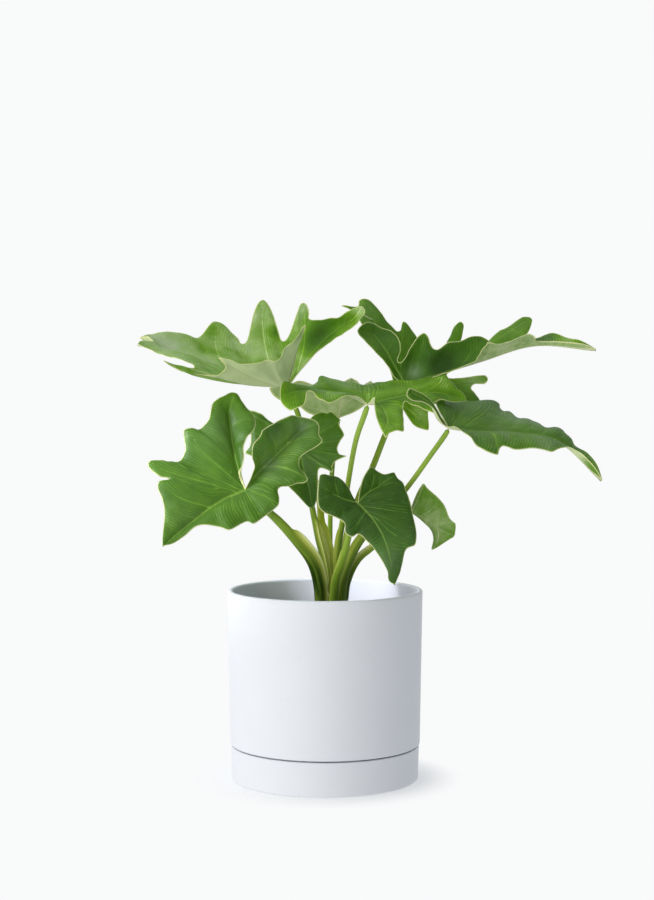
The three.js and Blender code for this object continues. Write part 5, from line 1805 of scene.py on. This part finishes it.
potLampPlan = {
    "at": (-0.56, -0.24, 0.50),
    "aim": (-0.008, 0.05, 0.165),
    "cone": 15,  # degrees
    "softness": 0.05,
    "watts": 21,
    "colour": (0.95, 0.97, 1),
}


def makeFloor(plan):
    mesh = bpy.data.meshes.new("floor")
    radius, drop = plan["floorRadius"], plan["floorDrop"]
    angles = np.linspace(0, 2 * math.pi, plan["floorSides"], endpoint=False)
    ring = [(radius * math.cos(a), radius * math.sin(a), -drop) for a in angles]
    mesh.from_pydata(ring, [], [range(len(ring))])
    material, sheet = newMaterial("floor")
    away = sheet.node("ShaderNodeVectorMath", {"operation": "LENGTH"}, {0: place(sheet)}, "Value")
    paper = sheet.node("ShaderNodeBsdfDiffuse", None, {"Color": (*plan["floorColour"], 1)})
    glow = sheet.node("ShaderNodeEmission", None, {"Color": (*plan["backdrop"], 1)})
    fade = plan["glowNear"] + step(away, plan["fadeFrom"], plan["fadeTo"]) * (1 - plan["glowNear"])
    seen = sheet.node("ShaderNodeLightPath", None, None, "Is Camera Ray")
    share = fade * seen + (1 - seen) * plan["glowSent"]
    mixed = sheet.node("ShaderNodeMixShader", None, {0: share, 1: paper, 2: glow})
    finishMaterial(sheet, mixed)
    mesh.materials.append(material)
    floor = bpy.data.objects.new("floor", mesh)
    bpy.context.collection.objects.link(floor)


def makeSurroundings(plan):
    # the camera sees a plain pale backdrop, and the plant is lit by a softer, uneven room
    world = bpy.data.worlds.new("studio")
    bpy.context.scene.world = world
    world.use_nodes = True
    world.node_tree.nodes.clear()
    sheet = Shade(world.node_tree)
    towards = sheet.node("ShaderNodeTexCoord", None, None, "Generated")
    east, north, upward = (
        sheet.node("ShaderNodeSeparateXYZ", None, {0: towards}, axis) for axis in "XYZ")
    room = blend(sheet, step(east, *plan["eastFade"]), plan["lightWest"], plan["lightEast"])
    room = blend(sheet, step(north * -1, *plan["frontFade"]), room, plan["lightFront"])
    room = blend(sheet, step(upward, *plan["topFade"]), room, plan["lightTop"])
    behind = step(north, *plan["behindFade"]) * (1 - step(east, *plan["behindEast"]) * 0.5)
    room = blend(sheet, behind, room, plan["lightBehind"])
    seen = sheet.node("ShaderNodeLightPath", None, None, "Is Camera Ray")
    colour = blend(sheet, seen, room, plan["backdrop"])
    background = sheet.node("ShaderNodeBackground", None, {"Color": colour})
    sheet.node("ShaderNodeOutputWorld", None, {"Surface": background})


def hangLamp(name, kind, plan):
    data = bpy.data.lights.new(name, kind)
    data.energy = plan["watts"]
    data.color = plan["colour"]
    light = bpy.data.objects.new(name, data)
    light.location = plan["at"]
    direction = Vector(plan["aim"]) - light.location
    light.rotation_euler = direction.to_track_quat("-Z", "Y").to_euler()
    bpy.context.collection.objects.link(light)
    return data


def hangKey(plan):
    lamp = hangLamp("key", "AREA", plan)
    lamp.shape = "RECTANGLE"
    lamp.size = plan["width"]
    lamp.size_y = plan["height"]


def hangPotLamp(plan):
    # a small soft beam between the leaves onto the far inside of the pot
    lamp = hangLamp("pot lamp", "SPOT", plan)
    lamp.spot_size = math.radians(plan["cone"])
    lamp.spot_blend = 1
    lamp.shadow_soft_size = plan["softness"]


makeFloor(stagePlan)
makeSurroundings(stagePlan)
hangKey(keyPlan)
hangPotLamp(potLampPlan)
bpy.context.scene.view_settings.view_transform = "Standard"
print("floor and light made")
